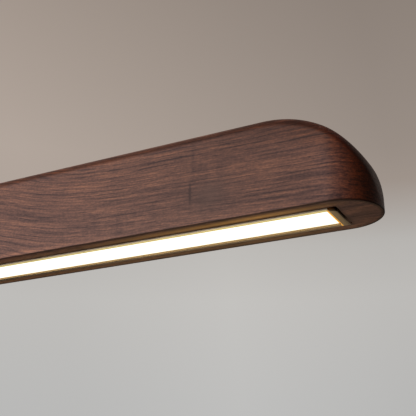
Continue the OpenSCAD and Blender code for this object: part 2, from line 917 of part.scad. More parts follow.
// Plunger: nose that is pressed, cage that carries the balls, flange that the spring pushes
module release_plunger(side) {
    bore = wire_bore_d / 2;
    color("#c8bda6")
        translate([side * hanger_x, 0, 0])
            difference() {
                rotate_extrude()
                    polygon([
                        [bore, flange_under], [flange_r, flange_under], [flange_r, flange_top],
                        [cage_r, flange_top], [cage_r, shoulder_z], [nose_r, shoulder_z],
                        [nose_r, mouth_z - small_chamfer], [nose_r - small_chamfer, mouth_z],
                        [bore, mouth_z]
                    ]);
                for (i = [0:2])
                    rotate([0, 90, i * 120])
                        translate([-ball_z, 0, 0])
                            cylinder(r = ball_r + ball_gap, h = cage_r + cut);
            }
}

module left_release_plunger() {
    release_plunger(left);
}

module right_release_plunger() {
    release_plunger(right);
}

module grip_balls(side) {
    color("#d8d8d8")
        translate([side * hanger_x, 0, ball_z])
            for (i = [0:2])
                rotate(i * 120)
                    translate([ball_ring_r, 0, 0])
                        sphere(r = ball_r);
}

module left_grip_balls() {
    grip_balls(left);
}

module right_grip_balls() {
    grip_balls(right);
}

// Coil spring as one closed tube
module plunger_spring(side) {
    wire_r = spring_wire_d / 2;
    steps = spring_turns * spring_rings;
    climb = spring_length - spring_wire_d;
    n = spring_sides;
    rings = [for (i = [0:steps])
        let (turn = i * 360 / spring_rings)
        [for (k = [0:n - 1])
            let (a = k * 360 / n + 90, r = spring_r + wire_r * cos(a))
            [r * cos(turn), r * sin(turn), chamber_floor + wire_r + climb * i / steps + wire_r * sin(a)]]];
    walls = [for (j = [0:steps - 1]) each band(j, n)];
    first_cap = [for (k = [1:n - 2]) [0, k, k + 1]];
    last_cap = [for (k = [1:n - 2]) [steps * n, steps * n + k + 1, steps * n + k]];
    color("#a0a4a8")
        translate([side * hanger_x, 0, 0])
            polyhedron(joined(rings), concat(walls, first_cap, last_cap));
}

module left_plunger_spring() {
    plunger_spring(left);
}

module right_plunger_spring() {
    plunger_spring(right);
}

// Gland: threaded tube through the wood with a flange on top and a seat for the seal
module gland_body() {
    seat_r = seal_r + thread_gap;
    flange_r_outer = gland_flange_d / 2;
    color("#a8967a")
        rotate_extrude()
            polygon([
                [gland_bore_r, gland_bottom], [gland_thread_r, gland_bottom], [gland_thread_r, bar_top],
                [flange_r_outer, bar_top], [flange_r_outer, gland_flange_top - small_chamfer],
                [flange_r_outer - small_chamfer, gland_flange_top], [gland_thread_r, gland_flange_top],
                [gland_thread_r, gland_collar_top], [seat_r, gland_collar_top], [seat_r, seal_z],
                [gland_bore_r, seal_z]
            ]);
}

module gland_cap() {
    r = gland_cap_d / 2;
    thread = gland_thread_r + thread_gap;
    color("#a8967a")
        rotate_extrude()
            polygon([
                [thread, gland_cap_foot], [r, gland_cap_foot], [r, gland_cap_top - barrel_chamfer],
                [r - barrel_chamfer, gland_cap_top], [gland_bore_r, gland_cap_top],
                [gland_bore_r, gland_crown_z], [thread, gland_crown_z]
            ]);
}

module gland_seal() {
    color("#2b2b2b")
        difference() {
            post(0, 0, seal_r, seal_z, seal_z + gland_seal_h);
            post(0, 0, gland_bore_r, seal_z - cut, seal_z + gland_seal_h + cut);
        }
}

module gland_nut() {
    color("#b7a06a")
        hex_nut(0, gland_nut_af, gland_thread_r + thread_gap, cavity_top - gland_nut_h, gland_nut_h);
}

wood_body();
led_channel();
left_end_cap();
right_end_cap();
end_cap_screws();
diffuser();
left_led_board();
middle_led_board();
right_led_board();
led_chips();
board_screws();
channel_screws();
board_links();
web_grommet();
dc_leads();
mains_leads();
driver_base();
driver_cover();
driver_board();
driver_transformer();
driver_capacitors();
driver_choke();
terminal_block();
terminal_screws();
module_screws();
left_hanger_plate();
right_hanger_plate();
hanger_screws();
hanger_washers();
hanger_nuts();
left_hollow_stud();
right_hollow_stud();
left_seat_ring();
right_seat_ring();
left_gripper_barrel();
right_gripper_barrel();
left_release_plunger();
right_release_plunger();
left_grip_balls();
right_grip_balls();
left_plunger_spring();
right_plunger_spring();
gland_body();
gland_cap();
gland_seal();
gland_nut();
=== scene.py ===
# %% [markdown]
# # A walnut bar lamp, dressed for its picture
#
# The lamp is a long bar of walnut that hangs level from two thin wires. A metal channel is let into
# its underside, and an opal strip in the channel glows. The frame below is the lamp's exact
# construction, in metres. This lesson gives it its wood, metal and light, one piece at a time, and
# never moves what the frame has placed.

# %% Load the frame
import json
import math

import bmesh
import bpy
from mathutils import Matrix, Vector


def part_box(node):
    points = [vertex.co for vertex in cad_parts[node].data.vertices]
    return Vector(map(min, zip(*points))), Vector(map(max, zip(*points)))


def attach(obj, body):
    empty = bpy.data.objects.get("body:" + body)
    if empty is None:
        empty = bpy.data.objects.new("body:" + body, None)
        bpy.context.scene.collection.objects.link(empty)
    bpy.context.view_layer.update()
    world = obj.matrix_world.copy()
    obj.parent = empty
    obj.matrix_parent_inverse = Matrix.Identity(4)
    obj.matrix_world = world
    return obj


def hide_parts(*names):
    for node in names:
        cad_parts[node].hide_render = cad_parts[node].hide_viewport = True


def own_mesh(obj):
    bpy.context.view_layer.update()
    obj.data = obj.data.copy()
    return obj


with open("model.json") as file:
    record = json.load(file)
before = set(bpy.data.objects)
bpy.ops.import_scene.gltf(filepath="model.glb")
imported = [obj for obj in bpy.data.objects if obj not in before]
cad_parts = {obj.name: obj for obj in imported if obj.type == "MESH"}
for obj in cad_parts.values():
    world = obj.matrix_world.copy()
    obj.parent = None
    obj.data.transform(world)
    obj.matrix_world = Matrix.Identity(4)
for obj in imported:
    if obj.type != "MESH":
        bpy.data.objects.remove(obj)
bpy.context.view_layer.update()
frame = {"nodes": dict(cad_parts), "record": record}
scene = bpy.context.scene
mm = 0.001

# %% [markdown]
# ## The camera
#
# The picture looks up at one end of the bar from close by, so the near end is large and the far end
# runs out of view. Such a view could be found by eye, but a lamp this long shows every degree of error.
# Its place was worked out from the edges of the bar, and it is written from the foot of the right
# end, so that it follows the lamp if the bar ever grows. The Standard view shows each colour as it is
# written, without a film look.

# %% Stand the camera
wood_low, wood_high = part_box("wood_body")
end_foot = Vector((wood_high.x, 0.0, wood_low.z))
from_end_foot = Vector((110.5, -461.1, -175.6)) * mm
turned_left, tilted_up = math.radians(27.474), math.radians(20.940)
film_width, focal_length = 36.0, 65.2

lens = bpy.data.cameras.new("picture_camera")
lens.sensor_width, lens.lens = film_width, focal_length
camera = bpy.data.objects.new("picture_camera", lens)
camera.location = end_foot + from_end_foot
camera.rotation_euler = (math.pi / 2 + tilted_up, 0.0, turned_left)
scene.collection.objects.link(camera)
scene.camera = camera
scene.view_settings.view_transform = "Standard"
print("camera at", [round(c, 3) for c in camera.location])

# %% [markdown]
# ## Nodes in a few words
#
# Every finish here is painted by nodes, which could be wired one by one. The helpers below let a finish
# read like a recipe instead. A Value is what a node gives out, and values are added and multiplied like
# numbers: each sum puts one Math node on the same board. Two values from 0 to 1 that are multiplied are
# high only where both of them are.

# %% Helpers that wire a board of nodes
class Value:
    """What a node gives out. A sum with it puts the node that works out the sum on the same board."""

    def __init__(self, socket):
        self.socket = socket
        self.board = socket.id_data

    def reckon(self, kind, *others):
        """A sum such as POWER, which starts with this value and takes the others after it."""
        return put(self.board, "Math", dict(enumerate((self, *others))), operation=kind)

    def __add__(self, other):
        return self.reckon("ADD", other)

    def __sub__(self, other):
        return self.reckon("SUBTRACT", other)

    def __rsub__(self, number):
        return put(self.board, "Math", {0: number, 1: self}, operation="SUBTRACT")

    def __mul__(self, other):
        return self.reckon("MULTIPLY", other)

    def __abs__(self):
        return self.reckon("ABSOLUTE")


def wire(node, wires):
    """Feeds a node's sockets, by name or number, with values or with plain numbers and colours."""
    for socket, value in wires.items():
        if isinstance(value, Value):
            node.id_data.links.new(value.socket, node.inputs[socket])
        else:
            node.inputs[socket].default_value = value


def put(board, kind, wires, given=0, **options):
    """Adds a node to a board and wires it. The answer is one of its outputs, by name or number."""
    node = board.nodes.new("ShaderNode" + kind)
    for option, value in options.items():
        setattr(node, option, value)
    wire(node, wires)
    return Value(node.outputs[given])


print("helpers for boards ready")

# %% [markdown]
# Three shapes of a value come up again and again: a soft step from one place to another, a soft spot
# round a centre, and a cloud of random light and dark. Each could be drawn as a curve by hand, but as
# a function it also says in its name what it is for.

# %% Helpers for steps and spots
def distance(one, other):
    """The straight distance, from its two parts at right angles."""
    return (one * one + other * other).reckon("SQRT")


def higher(one, other):
    """The higher of two values at each point."""
    return one.reckon("MAXIMUM", other)


def between(value, low, high, out_low=0.0, out_high=1.0, **options):
    """The value's place between low and high, kept between out_low and out_high."""
    wires = {"Value": value, "From Min": low, "From Max": high, "To Min": out_low, "To Max": out_high}
    return put(value.board, "MapRange", wires, **options)


def hump(value, centre, reach):
    """One soft hump of height 1 round a centre, all but gone at twice its reach."""
    off = (value - centre) * (1.0 / reach)
    return (off * off * -1.0).reckon("EXPONENT")


print("helpers for steps and spots ready")

# %% Helpers for places and clouds
def split(place):
    """A place taken apart: along the bar, across it and up."""
    node = put(place.board, "SeparateXYZ", {0: place}).socket.node
    return [Value(socket) for socket in node.outputs]


def scaled(place, factor):
    """A place or a colour with all its parts multiplied by one factor."""
    return put(place.board, "VectorMath", {0: place, "Scale": factor}, operation="SCALE")


def place_in_mm(board):
    """Where a point of the surface lies in the lamp's frame, in millimetres."""
    return scaled(put(board, "TexCoord", {}, "Object"), 1.0 / mm)


def stretched(place, per_mm, shift=0.0):
    """A place with its three directions scaled on their own, and moved so that no two clouds match."""
    return put(place.board, "VectorMath", {0: place, 1: per_mm, 2: (shift,) * 3}, operation="MULTIPLY_ADD")


def cloud(place, detail=2.0, roughness=0.5):
    """Soft random light and dark at a place, from 0 to 1."""
    wires = {"Vector": place, "Scale": 1.0, "Detail": detail, "Roughness": roughness}
    return put(place.board, "TexNoise", wires, "Fac")


def tuned(start, *parts):
    """A start value and some clouds, each with its own share. The middle of a cloud adds nothing."""
    total = start
    for value, share in parts:
        total = (value - 0.5) * share + total
    return total


print("helpers for clouds ready")

# %% [markdown]
# A finish needs colours too. A shader wants them linear, but it is easier to think of them as a screen
# shows them, so paint turns one into the other. The rest of these helpers lay colours over each other
# and press a shallow relief into a surface.

# %% Helpers for colours and finishes
def paint(red, green, blue):
    """A colour as a screen shows it, 0 to 255, made linear."""
    shown = [part / 255 for part in (red, green, blue)]
    return (*(c / 12.92 if c <= 0.04045 else ((c + 0.055) / 1.055) ** 2.4 for c in shown), 1.0)


def mixed(amount, first, second, how="MIX"):
    """Two colours laid over each other. At least one of the three is a value from a node."""
    wires = {0: amount, 6: first, 7: second}
    board = next(part.board for part in wires.values() if isinstance(part, Value))
    return put(board, "Mix", wires, 2, data_type="RGBA", blend_type=how)


def shades(value, *stops):
    """A run of colours along a value: each stop is a place from 0 to 1 and a colour."""
    colours = put(value.board, "ValToRGB", {"Fac": value})
    elements = colours.socket.node.color_ramp.elements
    while len(elements) < len(stops):
        elements.new(0.5)
    for element, (place, colour) in zip(elements, stops):
        element.position = place
        element.color = colour
    return colours


def pressed(height, strength, depth):
    """A shallow relief, as the bent normal of a surface with that height."""
    return put(height.board, "Bump", {"Strength": strength, "Distance": depth, "Height": height})


def new_finish(name):
    """An empty finish: the material, its board of nodes and its surface shader."""
    finish = bpy.data.materials.new(name)
    finish.use_nodes = True
    board = finish.node_tree
    return finish, board, board.nodes["Principled BSDF"]


print("helpers for finishes ready")

# %% [markdown]
# ## Backdrop, floor and light
#
# The lamp hangs in front of a soft warm grey that pales towards the floor. A sheet of paper could be
# built behind it, but a run of colour from low to high does the same, and a Light Path node shows it
# only to the camera and in reflections, so it adds no light. Metal would mirror the backdrop's full
# brightness, so reflections see it dimmer to the right and below. Everything else gets a weak warm
# light from all round, which keeps the deepest shadows brown.

# %% Hang the backdrop
backdrop = bpy.data.worlds.new("soft_backdrop")
backdrop.use_nodes = True
scene.world = backdrop
board = backdrop.node_tree
gaze_x, _, gaze_z = split(put(board, "TexCoord", {}, "Generated"))
paper_tone = shades(
    gaze_z,
    (0.02, paint(186, 183, 179)),
    (0.08, paint(187, 187, 186)),
    (0.24, paint(193, 191, 188)),
    (0.31, paint(187, 184, 180)),
    (0.38, paint(168, 156, 147)),
    (0.62, paint(150, 138, 129)),
)
low_fall = between(gaze_x, -0.60, -0.42, 0.97, 1.03) * between(gaze_x, -0.42, -0.22, 1.0, 0.92)
high_fall = between(gaze_x, -0.62, -0.20, 1.17, 0.83)
fall = between(gaze_z, 0.30, 0.42, low_fall, high_fall)
seen, glossy, through = [put(board, "LightPath", {}, "Is " + ray + " Ray")
                         for ray in ("Camera", "Glossy", "Transmission")]
mirrored = higher(glossy, through)
mirror_fall = between(gaze_x, 0.35, 0.97, 1.0, 0.08) * between(gaze_z, -0.04, 0.08, 0.10, 1.0)
fall = fall * between(mirrored, 0.0, 1.0, 1.0, mirror_fall)
shown = put(board, "Background", {"Color": scaled(paper_tone, fall), "Strength": 1.0})
all_round = put(board, "Background", {"Color": (1.0, 0.5, 0.28, 1.0), "Strength": 0.06})
sky = put(board, "MixShader", {0: higher(seen, mirrored), 1: all_round, 2: shown})
wire(board.nodes["World Output"], {"Surface": sky})
print("backdrop hung")

# %% [markdown]
# The floor is one pale sheet that lies well below the lamp. A larger sheet would hide its edge, but it
# would also hide the backdrop from below. So the sheet turns clear towards its rim and fades into the
# backdrop.

# %% Lay the floor
floor_half, floor_z = 3.2, -2.3
fade_from, fade_to = 1.0, 3.0
corners = [(x * floor_half, y * floor_half, floor_z) for x, y in ((-1, -1), (1, -1), (1, 1), (-1, 1))]
floor_mesh = bpy.data.meshes.new("pale_floor")
floor_mesh.from_pydata(corners, [], [(0, 1, 2, 3)])
floor = bpy.data.objects.new("pale_floor", floor_mesh)
scene.collection.objects.link(floor)

floor_paint, board, surface = new_finish("floor_paint")
weight = cloud(stretched(place_in_mm(board), (0.004, 0.004, 0.004)), 4.0)
wire(surface, {"Base Color": mixed(weight, paint(240, 236, 230), paint(248, 246, 242)), "Roughness": 0.8})
along, across, _ = split(put(board, "TexCoord", {}, "Object"))
gone = between(distance(along, across), fade_from, fade_to, interpolation_type="SMOOTHSTEP")
clear = put(board, "BsdfTransparent", {})
faded = put(board, "MixShader", {0: gone, 1: Value(surface.outputs[0]), 2: clear})
wire(board.nodes["Material Output"], {"Surface": faded})
floor_mesh.materials.append(floor_paint)
print("floor at", floor_z, "m")

# %% [markdown]
# The light in the picture comes from a soft panel to the left and in front, at about the bar's own
# height: the long side is evenly bright and fades towards the round end, which turns away into near
# black. The lamp's own light comes back up from below as a weak warm glow on the underside. Two more
# panels light what this view doesn't show. One stands behind the lamp for its far side. One hangs
# overhead for its top and the floor, and it is kept out of reflections so that the top stays satin.

# %% Light the lamp
def soft_panel(name, at, aim, size, watts, tint):
    """A soft panel of light that faces a point of the lamp."""
    panel = bpy.data.lights.new(name, "AREA")
    panel.shape = "RECTANGLE"
    panel.size, panel.size_y = size
    panel.energy = watts
    panel.color = tint
    lamp = bpy.data.objects.new(name, panel)
    lamp.location = at
    lamp.rotation_euler = (Vector(aim) - Vector(at)).to_track_quat("-Z", "Y").to_euler()
    scene.collection.objects.link(lamp)
    return lamp


soft_panel("front_left", (-1.00, -2.78, 0.12), (0.40, 0.0, -0.06), (1.2, 1.2), 92.0, (1.0, 0.97, 0.95))
soft_panel("behind", (-0.90, 2.00, 0.75), (0.0, 0.0, -0.06), (1.6, 1.0), 40.0, (1.0, 0.98, 0.95))
overhead = soft_panel("overhead", (0.0, 0.20, 2.00), (0.0, 0.0, 0.0), (2.4, 1.6), 46.0,
                      (1.0, 0.97, 0.94))
overhead.visible_glossy = False
soft_panel("from_below", (0.0, 1.20, -0.75), (0.4, 0.0, -0.10), (0.8, 0.3), 0.82, (1.0, 0.72, 0.40))

# %% [markdown]
# ## Walnut
#
# The bar is one solid piece of walnut with an oiled satin surface. Its pattern is what a plank shows
# when it is sawn from a log: level lines on the sides, where the saw cut across the rings, and long
# arches on the flat faces, where it ran near level with them. A wood photo could be wrapped round,
# but it would break at every edge. Here each point asks how far it lies from the heart of the log, so
# the pattern runs through the whole block and meets itself on the sides and the round end. In a few
# swirls the fibres rise or dip, as they do where a branch once stood near.

# %% Find each point's place in the log
wood_foot_mm = wood_low.z / mm
heart_below_mm, heart_ahead_mm = 300.0, 30.0
grain_run_out = 0.04
swirls = ((262.0, 20.0, 72.0), (-90.0, -8.0, 110.0), (-430.0, 10.0, 90.0))


def place_in_log(board):
    """The place in mm, and its distance from the heart of the log."""
    place = place_in_mm(board)
    along, across, up = split(place)
    above = up + (heart_below_mm - wood_foot_mm) + along * grain_run_out
    for centre, rise, reach in swirls:
        above = above - hump(along, centre, reach) * rise
    aside = across + heart_ahead_mm
    sway = cloud(stretched(place, (0.006, 0.02, 0.02), 3.1))
    ripple = cloud(stretched(place, (0.03, 0.10, 0.10), 8.7))
    shiver = cloud(stretched(place, (0.12, 0.4, 0.4), 5.3))
    return place, tuned(distance(aside, above), (sway, 7.0), (ripple, 2.0), (shiver, 0.5))


print("heart of the log", heart_below_mm, "mm below the bar, and", len(swirls), "swirls in the grain")

# %% [markdown]
# Along each ring walnut has a dark late line, and between the rings it is full of finer streaks,
# hair lines and short open pores. Each of these is one cloud that is stretched along the grain, from
# broad and soft to thin and sharp, because one cloud alone looks like smoke and not like wood.

# %% Mix the streaks of the wood
ring_mm = 3.4
sideways_share, sideways_shift = 0.6, 10.5


def grain_marks(place, from_heart):
    """Tone, ring lines and pores of the wood, each about from 0 to 1."""
    along, across, _ = split(place)
    sideways = across * sideways_share + sideways_shift

    def streak(along_per_mm, ring_per_mm, shift, detail):
        wires = {0: along * along_per_mm, 1: from_heart * ring_per_mm, 2: sideways * ring_per_mm + shift}
        return cloud(put(place.board, "CombineXYZ", wires), detail, 0.6)

    broad = streak(0.003, 0.035, 1.7, 1.0)
    bands = streak(0.008, 0.15, 4.2, 1.0)
    fine = streak(0.020, 0.50, 9.4, 2.0)
    hair = streak(0.060, 1.25, 6.6, 2.0)
    grit = cloud(stretched(place, (0.5, 0.9, 0.9), 3.3), 1.0)
    tone = tuned(0.5, (broad, 0.35), (bands, 0.4), (fine, 0.85), (hair, 1.0), (grit, 0.5))

    season = (broad * 2.0 + from_heart * (1.0 / ring_mm)).reckon("FRACT")
    late = between(season, 0.55, 0.95).reckon("POWER", 2.0)
    early = between(season, 0.0, 0.10, 1.0, 0.0)
    faint = between(streak(0.020, 0.30, 2.5, 2.0), 0.40, 0.62)
    line = higher(late, early) * faint
    pits = cloud(stretched(place, (0.11, 2.0, 2.0), 7.9), 1.0)
    return tone, line, between(pits, 0.57, 0.72)


print("rings are", ring_mm, "mm apart")

# %% [markdown]
# A plank also has marks of its own: a pin knot with a fine crack and a grey stain beside it, and some
# places where the fibres curl and the light stands in upright waves. They could come out of a cloud
# too, but then they would lie anywhere, so each is a soft spot at its own place on the bar's side.

# %% Add the marks of this plank
bar_half, plan_radius, bar_top = wood_high
knot_x, knot_z = 472.0, 24.0
curls = ((402.0, 9.0, 30.0), (486.0, 13.0, 16.0), (484.0, 42.0, 15.0), (118.0, 40.0, 34.0),
         (-210.0, 18.0, 28.0))
curl_tall = 14.0


def place_on_bar(place):
    """Where a point lies on the bar, in mm: in from the nearer tip, across, and up from the underside."""
    along, across, up = split(place)
    return bar_half / mm - abs(along), across, up - wood_foot_mm


def plank_marks(place):
    """The pin knot, the stain beside it and the waves of curled fibre."""
    along = split(place)[0]
    _, across, height = place_on_bar(place)
    near_side = between(across, -24.0, -18.0, 1.0, 0.0)

    def spot(x, z, wide, tall):
        return hump(along, x, wide) * hump(height, z, tall)

    crack = spot(knot_x + 2.5, knot_z + 20.0, 1.6, 17.0)
    knot = (spot(knot_x, knot_z, 0.8, 6.0) + crack * 0.24) * near_side
    stain = spot(knot_x + 15.0, knot_z - 4.0, 13.0, 10.0) * near_side
    curled = 0.0
    for x, z, wide in curls:
        curled = spot(x, z, wide, curl_tall) + curled
    waves = cloud(stretched(place, (0.14, 0.02, 0.02), 2.2), 2.0)
    return knot, stain, (waves - 0.5) * curled


print("a pin knot at", knot_x, "mm and", len(curls), "curled places")

# %% [markdown]
# The lower edges get lines of their own: painted shade on the arris round the underside, a paler
# line just above it, and a painted shadow line where the end is round. Beside the channel the
# underside gets a pale golden streak of painted glow, the lamp's light as it comes back from below,
# and painted shade round the rim of the pocket. All follow the bar's outline, so each asks for the
# distance from it. Drawn as thin pieces of their own they would look stuck on.

# %% Paint shade and glow along its edges
channel_low, channel_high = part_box("led_channel")
cap_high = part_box("right_end_cap")[1]
pocket_gap = 1.0 * mm
pocket_half_x = cap_high.x + pocket_gap
pocket_half_y = channel_high.y + pocket_gap


def edge_marks(place):
    """Painted shade on the arris, a pale line, a painted foot shadow, painted glow and its golden part, and
    painted shade on the pocket's rim, each from 0 to 1.
    """
    from_tip, across, height = place_on_bar(place)
    past_end = higher(plan_radius / mm - from_tip, 0.0)
    from_edge = plan_radius / mm - distance(past_end, across)
    underside = between(height, 0.6, 0.2)
    # Painted shade on the arris round the underside.
    arris_shade = between(from_edge, 3.2, 1.6) * underside
    # A paler line low on the side, stronger towards the middle and gone near the tips.
    weight = between(from_tip, 190.0, 290.0, 1.0, 1.8) * between(from_tip, 25.0, 50.0)
    pale_line = hump(height, 2.0, 1.5) * weight
    # A painted shadow line where each round end meets the underside.
    foot_shadow = between(height, 1.5, 0.7) * between(from_edge, 1.4, 0.7) * between(from_tip, 60.0, 26.0)
    # Painted glow: the lamp's light coming back from below, as a pale golden streak beside the channel.
    near_glow = hump(across, -22.5, 3.4) * between(from_tip, 230.0, 110.0, 0.22, 1.0)
    far_glow = hump(across, 24.5, 4.5) * 0.3
    painted_glow = (near_glow + far_glow) * underside * between(from_tip, 16.0, 78.0)
    golden = between(from_tip, 115.0, 85.0)
    # Painted shade round the rim of the pocket.
    past_pocket = higher((bar_half - pocket_half_x) / mm - from_tip, abs(across) - pocket_half_y / mm)
    pocket_rim_shade = between(past_pocket, 3.0, 0.0) * underside
    return arris_shade, pale_line, foot_shadow, painted_glow, golden, pocket_rim_shade


print("the pocket is", round(2 * pocket_half_x, 4), "by", round(2 * pocket_half_y, 4), "m")

# %% [markdown]
# Where the surface turns across the fibres, at the round ends, the open grain drinks more oil and goes
# darker, and painted shade makes it darker and redder still, as the end turns away from the light. The
# rounded top edge and the arc of each end get painted red-brown shade too. This could be left to the
# lights, but then it would be gone from every other side. So the end grain and the top edge ask for the
# direction that the surface faces, and the arc asks for the depth below it. Painted light and shade
# also run along the plank: it is paler towards the middle, darker before each end and lighter where
# the end turns.

# %% Deepen the oil and paint the shade on the ends and the top
sweep_radius, tip_height = 78.5 * mm, 20.5 * mm
bar_height = bar_top - wood_low.z
sweep_long = math.sqrt(sweep_radius ** 2 - (tip_height - bar_height + sweep_radius) ** 2)


def facing(board, axis):
    """How far the surface faces along one axis, from -1 to 1."""
    return split(put(board, "TexCoord", {}, "Normal"))[axis]


def end_grain(board, start, full):
    """How far the surface turns across the fibres, from 0 at one share of facing along them to 1."""
    return between(abs(facing(board, 0)), start, full)


def top_edge(board):
    """Painted shade on the rounded top edge, which has begun to face up but isn't level yet, and the level
    top.
    """
    up_share = facing(board, 2)
    top_shade = between(up_share, 0.02, 0.24) * between(up_share, 0.85, 0.50)
    return top_shade, between(up_share, 0.93, 0.995)


def arc_shade(place):
    """The soft shade under the arc of each end: 1 at the top there, and gone a thumb's width below."""
    from_tip, _, height = place_on_bar(place)
    past = higher(sweep_long / mm - from_tip, 0.0)
    rise = ((sweep_radius / mm) ** 2 - past * past).reckon("SQRT")
    depth = rise + (bar_height - sweep_radius) / mm - height
    return between(depth, 25.0, 5.0) * between(from_tip, 120.0, 50.0)


def painted_light_along(place):
    """How light the plank is painted along its length, as a factor near 1: painted light and shade."""
    from_tip, _, height = place_on_bar(place)
    middle = between(from_tip, 190.0, 300.0, 1.0, between(height, 60.0, 0.0, 1.15, 1.30))
    return middle - hump(from_tip, 108.0, 52.0) * 0.15 + hump(from_tip, 26.0, 11.0) * 0.26


print("the arc starts", round(sweep_long / mm, 1), "mm before the tip")

# %% [markdown]
# The marks now come together in one finish. The streaks set a tone from dark to light, the tone picks
# a brown, and the oiled ends and the painted light and shade are laid over it, from the widest to the
# finest. Dark pores also sink a little, and dark streaks are less smooth, because real grain shows in
# the gloss as well. The level top is nearly matt, or it would mirror the backdrop and look dusty.

# %% Paint the walnut
side_gloss, top_gloss = 0.3, 0.05
grain_relief, grain_depth = 0.25, 0.2 * mm


def walnut():
    """The satin walnut of the whole bar."""
    finish, board, surface = new_finish("satin_walnut")
    place, from_heart = place_in_log(board)
    tone, line, pores = grain_marks(place, from_heart)
    knot, stain, curl = plank_marks(place)
    arris_shade, pale_line, foot_shadow, painted_glow, golden, pocket_rim_shade = edge_marks(place)
    top_shade, level = top_edge(board)
    tone = tone - line * 0.34 + curl * 0.55 + pale_line * 0.16 - knot * 0.8
    wood = shades(
        tone,
        (0.10, paint(48, 35, 36)),
        (0.32, paint(73, 51, 48)),
        (0.50, paint(91, 63, 55)),
        (0.68, paint(109, 74, 61)),
        (0.90, paint(136, 92, 71)),
    )
    wood = mixed(pores * 0.45, wood, paint(46, 32, 31))
    # Painted light and shade along the bar: paler towards the middle, lighter where each end turns.
    wood = scaled(wood, painted_light_along(place))
    wood = mixed(stain * 0.7, wood, paint(76, 58, 53))
    # End grain is darker under oil; the rest of these darkenings is painted shade, on the turning ends, the
    # rounded top edge and under each end's arc.
    oil_and_painted_shade = (
        (end_grain(board, 0.12, 0.66), (1.0, 0.52, 0.30, 1.0)),
        (end_grain(board, 0.36, 0.82), (0.60, 0.60, 0.60, 1.0)),
        (top_shade, (0.62, 0.46, 0.36, 1.0)),
        (arc_shade(place), (0.60, 0.44, 0.33, 1.0)),
    )
    for amount, tint in oil_and_painted_shade:
        wood = mixed(amount, wood, tint, "MULTIPLY")
    # Painted glow beside the channel, and painted shade on the pocket's rim, the arris and the foot of each
    # end.
    edged = (
        (painted_glow * 0.95, mixed(golden, paint(194, 146, 80), paint(218, 166, 94))),
        (pocket_rim_shade * 0.60, paint(40, 24, 14)),
        (arris_shade * 0.75, paint(38, 20, 8)),
        (foot_shadow * 0.90, paint(26, 7, 1)),
    )
    for amount, colour in edged:
        wood = mixed(amount, wood, colour)
    # The socket keeps a plain value under the link that it gets next.
    surface.inputs["Specular IOR Level"].default_value = side_gloss
    wire(surface, {
        "Base Color": wood,
        "Roughness": between(tone, 0.2, 0.8, 0.56, 0.46),
        "Specular IOR Level": between(level, 0.0, 1.0, side_gloss, top_gloss),
        "Specular Tint": (1.0, 0.74, 0.66, 1.0),
        "Normal": pressed(tone * 0.5 - pores * 0.6, grain_relief, grain_depth),
    })
    return finish


satin_walnut = walnut()
print("walnut:", len(satin_walnut.node_tree.nodes), "nodes")

# %% [markdown]
# ## Meshes in a few words
#
# The pieces are built point by point, because a machined part is mostly straight runs between a few
# corners. A loft skins a stack of rings, an eased outline has its sharp corners rounded as a file
# would leave them, and a cutter is taken away with a Boolean. A finished piece then gets its finish,
# rides on the lamp's body and stands for the construction piece of the same place.

# %% Helpers that build meshes
def skin(rings, joined=False):
    """Faces between a stack of rings that all have as many points, and the rows of their points."""
    build = bmesh.new()
    rows = [[build.verts.new(p) for p in ring] for ring in rings]
    count = len(rows[0])
    for lower, upper in zip(rows, rows[1:] + rows[:1] if joined else rows[1:]):
        for i in range(count):
            j = (i + 1) % count
            build.faces.new((lower[i], lower[j], upper[j], upper[i]))
    return build, rows


def loft(rings, joined=False):
    """A closed skin over a stack of rings. Its two ends are covered, or joined to each other."""
    build, rows = skin(rings, joined)
    if not joined:
        build.faces.new(reversed(rows[0]))
        build.faces.new(rows[-1])
    bmesh.ops.recalc_face_normals(build, faces=build.faces)
    return build


def turns(steps):
    """The angles of a full turn, in even steps."""
    return [2 * math.pi * i / steps for i in range(steps)]


def eased(outline, radius, steps=4):
    """A closed outline with each corner rounded by about that radius."""
    longest_share = 0.45
    points = [Vector(p) for p in outline]
    rounded = []
    for i, corner in enumerate(points):
        before, after = points[i - 1] - corner, points[(i + 1) % len(points)] - corner
        start = corner + before * min(radius / before.length, longest_share)
        end = corner + after * min(radius / after.length, longest_share)
        for s in range(steps + 1):
            t = s / steps
            rounded.append(start * (1 - t) ** 2 + corner * (2 * t * (1 - t)) + end * t ** 2)
    return rounded


print("helpers for meshes ready")

# %% Helpers that finish a piece
sharp_from = math.radians(35.0)


def as_object(name, build):
    """A Blender object that holds a built mesh."""
    mesh = bpy.data.meshes.new(name)
    build.to_mesh(mesh)
    build.free()
    piece = bpy.data.objects.new(name, mesh)
    scene.collection.objects.link(piece)
    return piece


def cut_away(piece, cutters):
    """Takes closed cutters out of a piece, one after another."""
    for cutter in cutters:
        tool = as_object("cutter", cutter)
        knife = piece.modifiers.new("cut", "BOOLEAN")
        knife.operation = "DIFFERENCE"
        knife.solver = "EXACT"
        knife.object = tool
        evaluated = piece.evaluated_get(bpy.context.evaluated_depsgraph_get())
        cut_mesh = bpy.data.meshes.new_from_object(evaluated)
        piece.modifiers.remove(knife)
        old_mesh = piece.data
        piece.data = cut_mesh
        bpy.data.meshes.remove(old_mesh)
        bpy.data.objects.remove(tool)
    piece.data.name = piece.name


def dressed(piece, finish, node):
    """Gives a piece its finish and its place: it rides on the lamp and stands for a construction piece."""
    piece.data.materials.clear()
    piece.data.materials.append(finish)
    for face in piece.data.polygons:
        face.use_smooth = True
        face.material_index = 0
    piece.data.set_sharp_from_angle(angle=sharp_from)
    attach(piece, "lamp")
    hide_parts(node)
    print(piece.name, "has", len(piece.data.polygons), "faces")
    return piece


print("helpers for pieces ready")

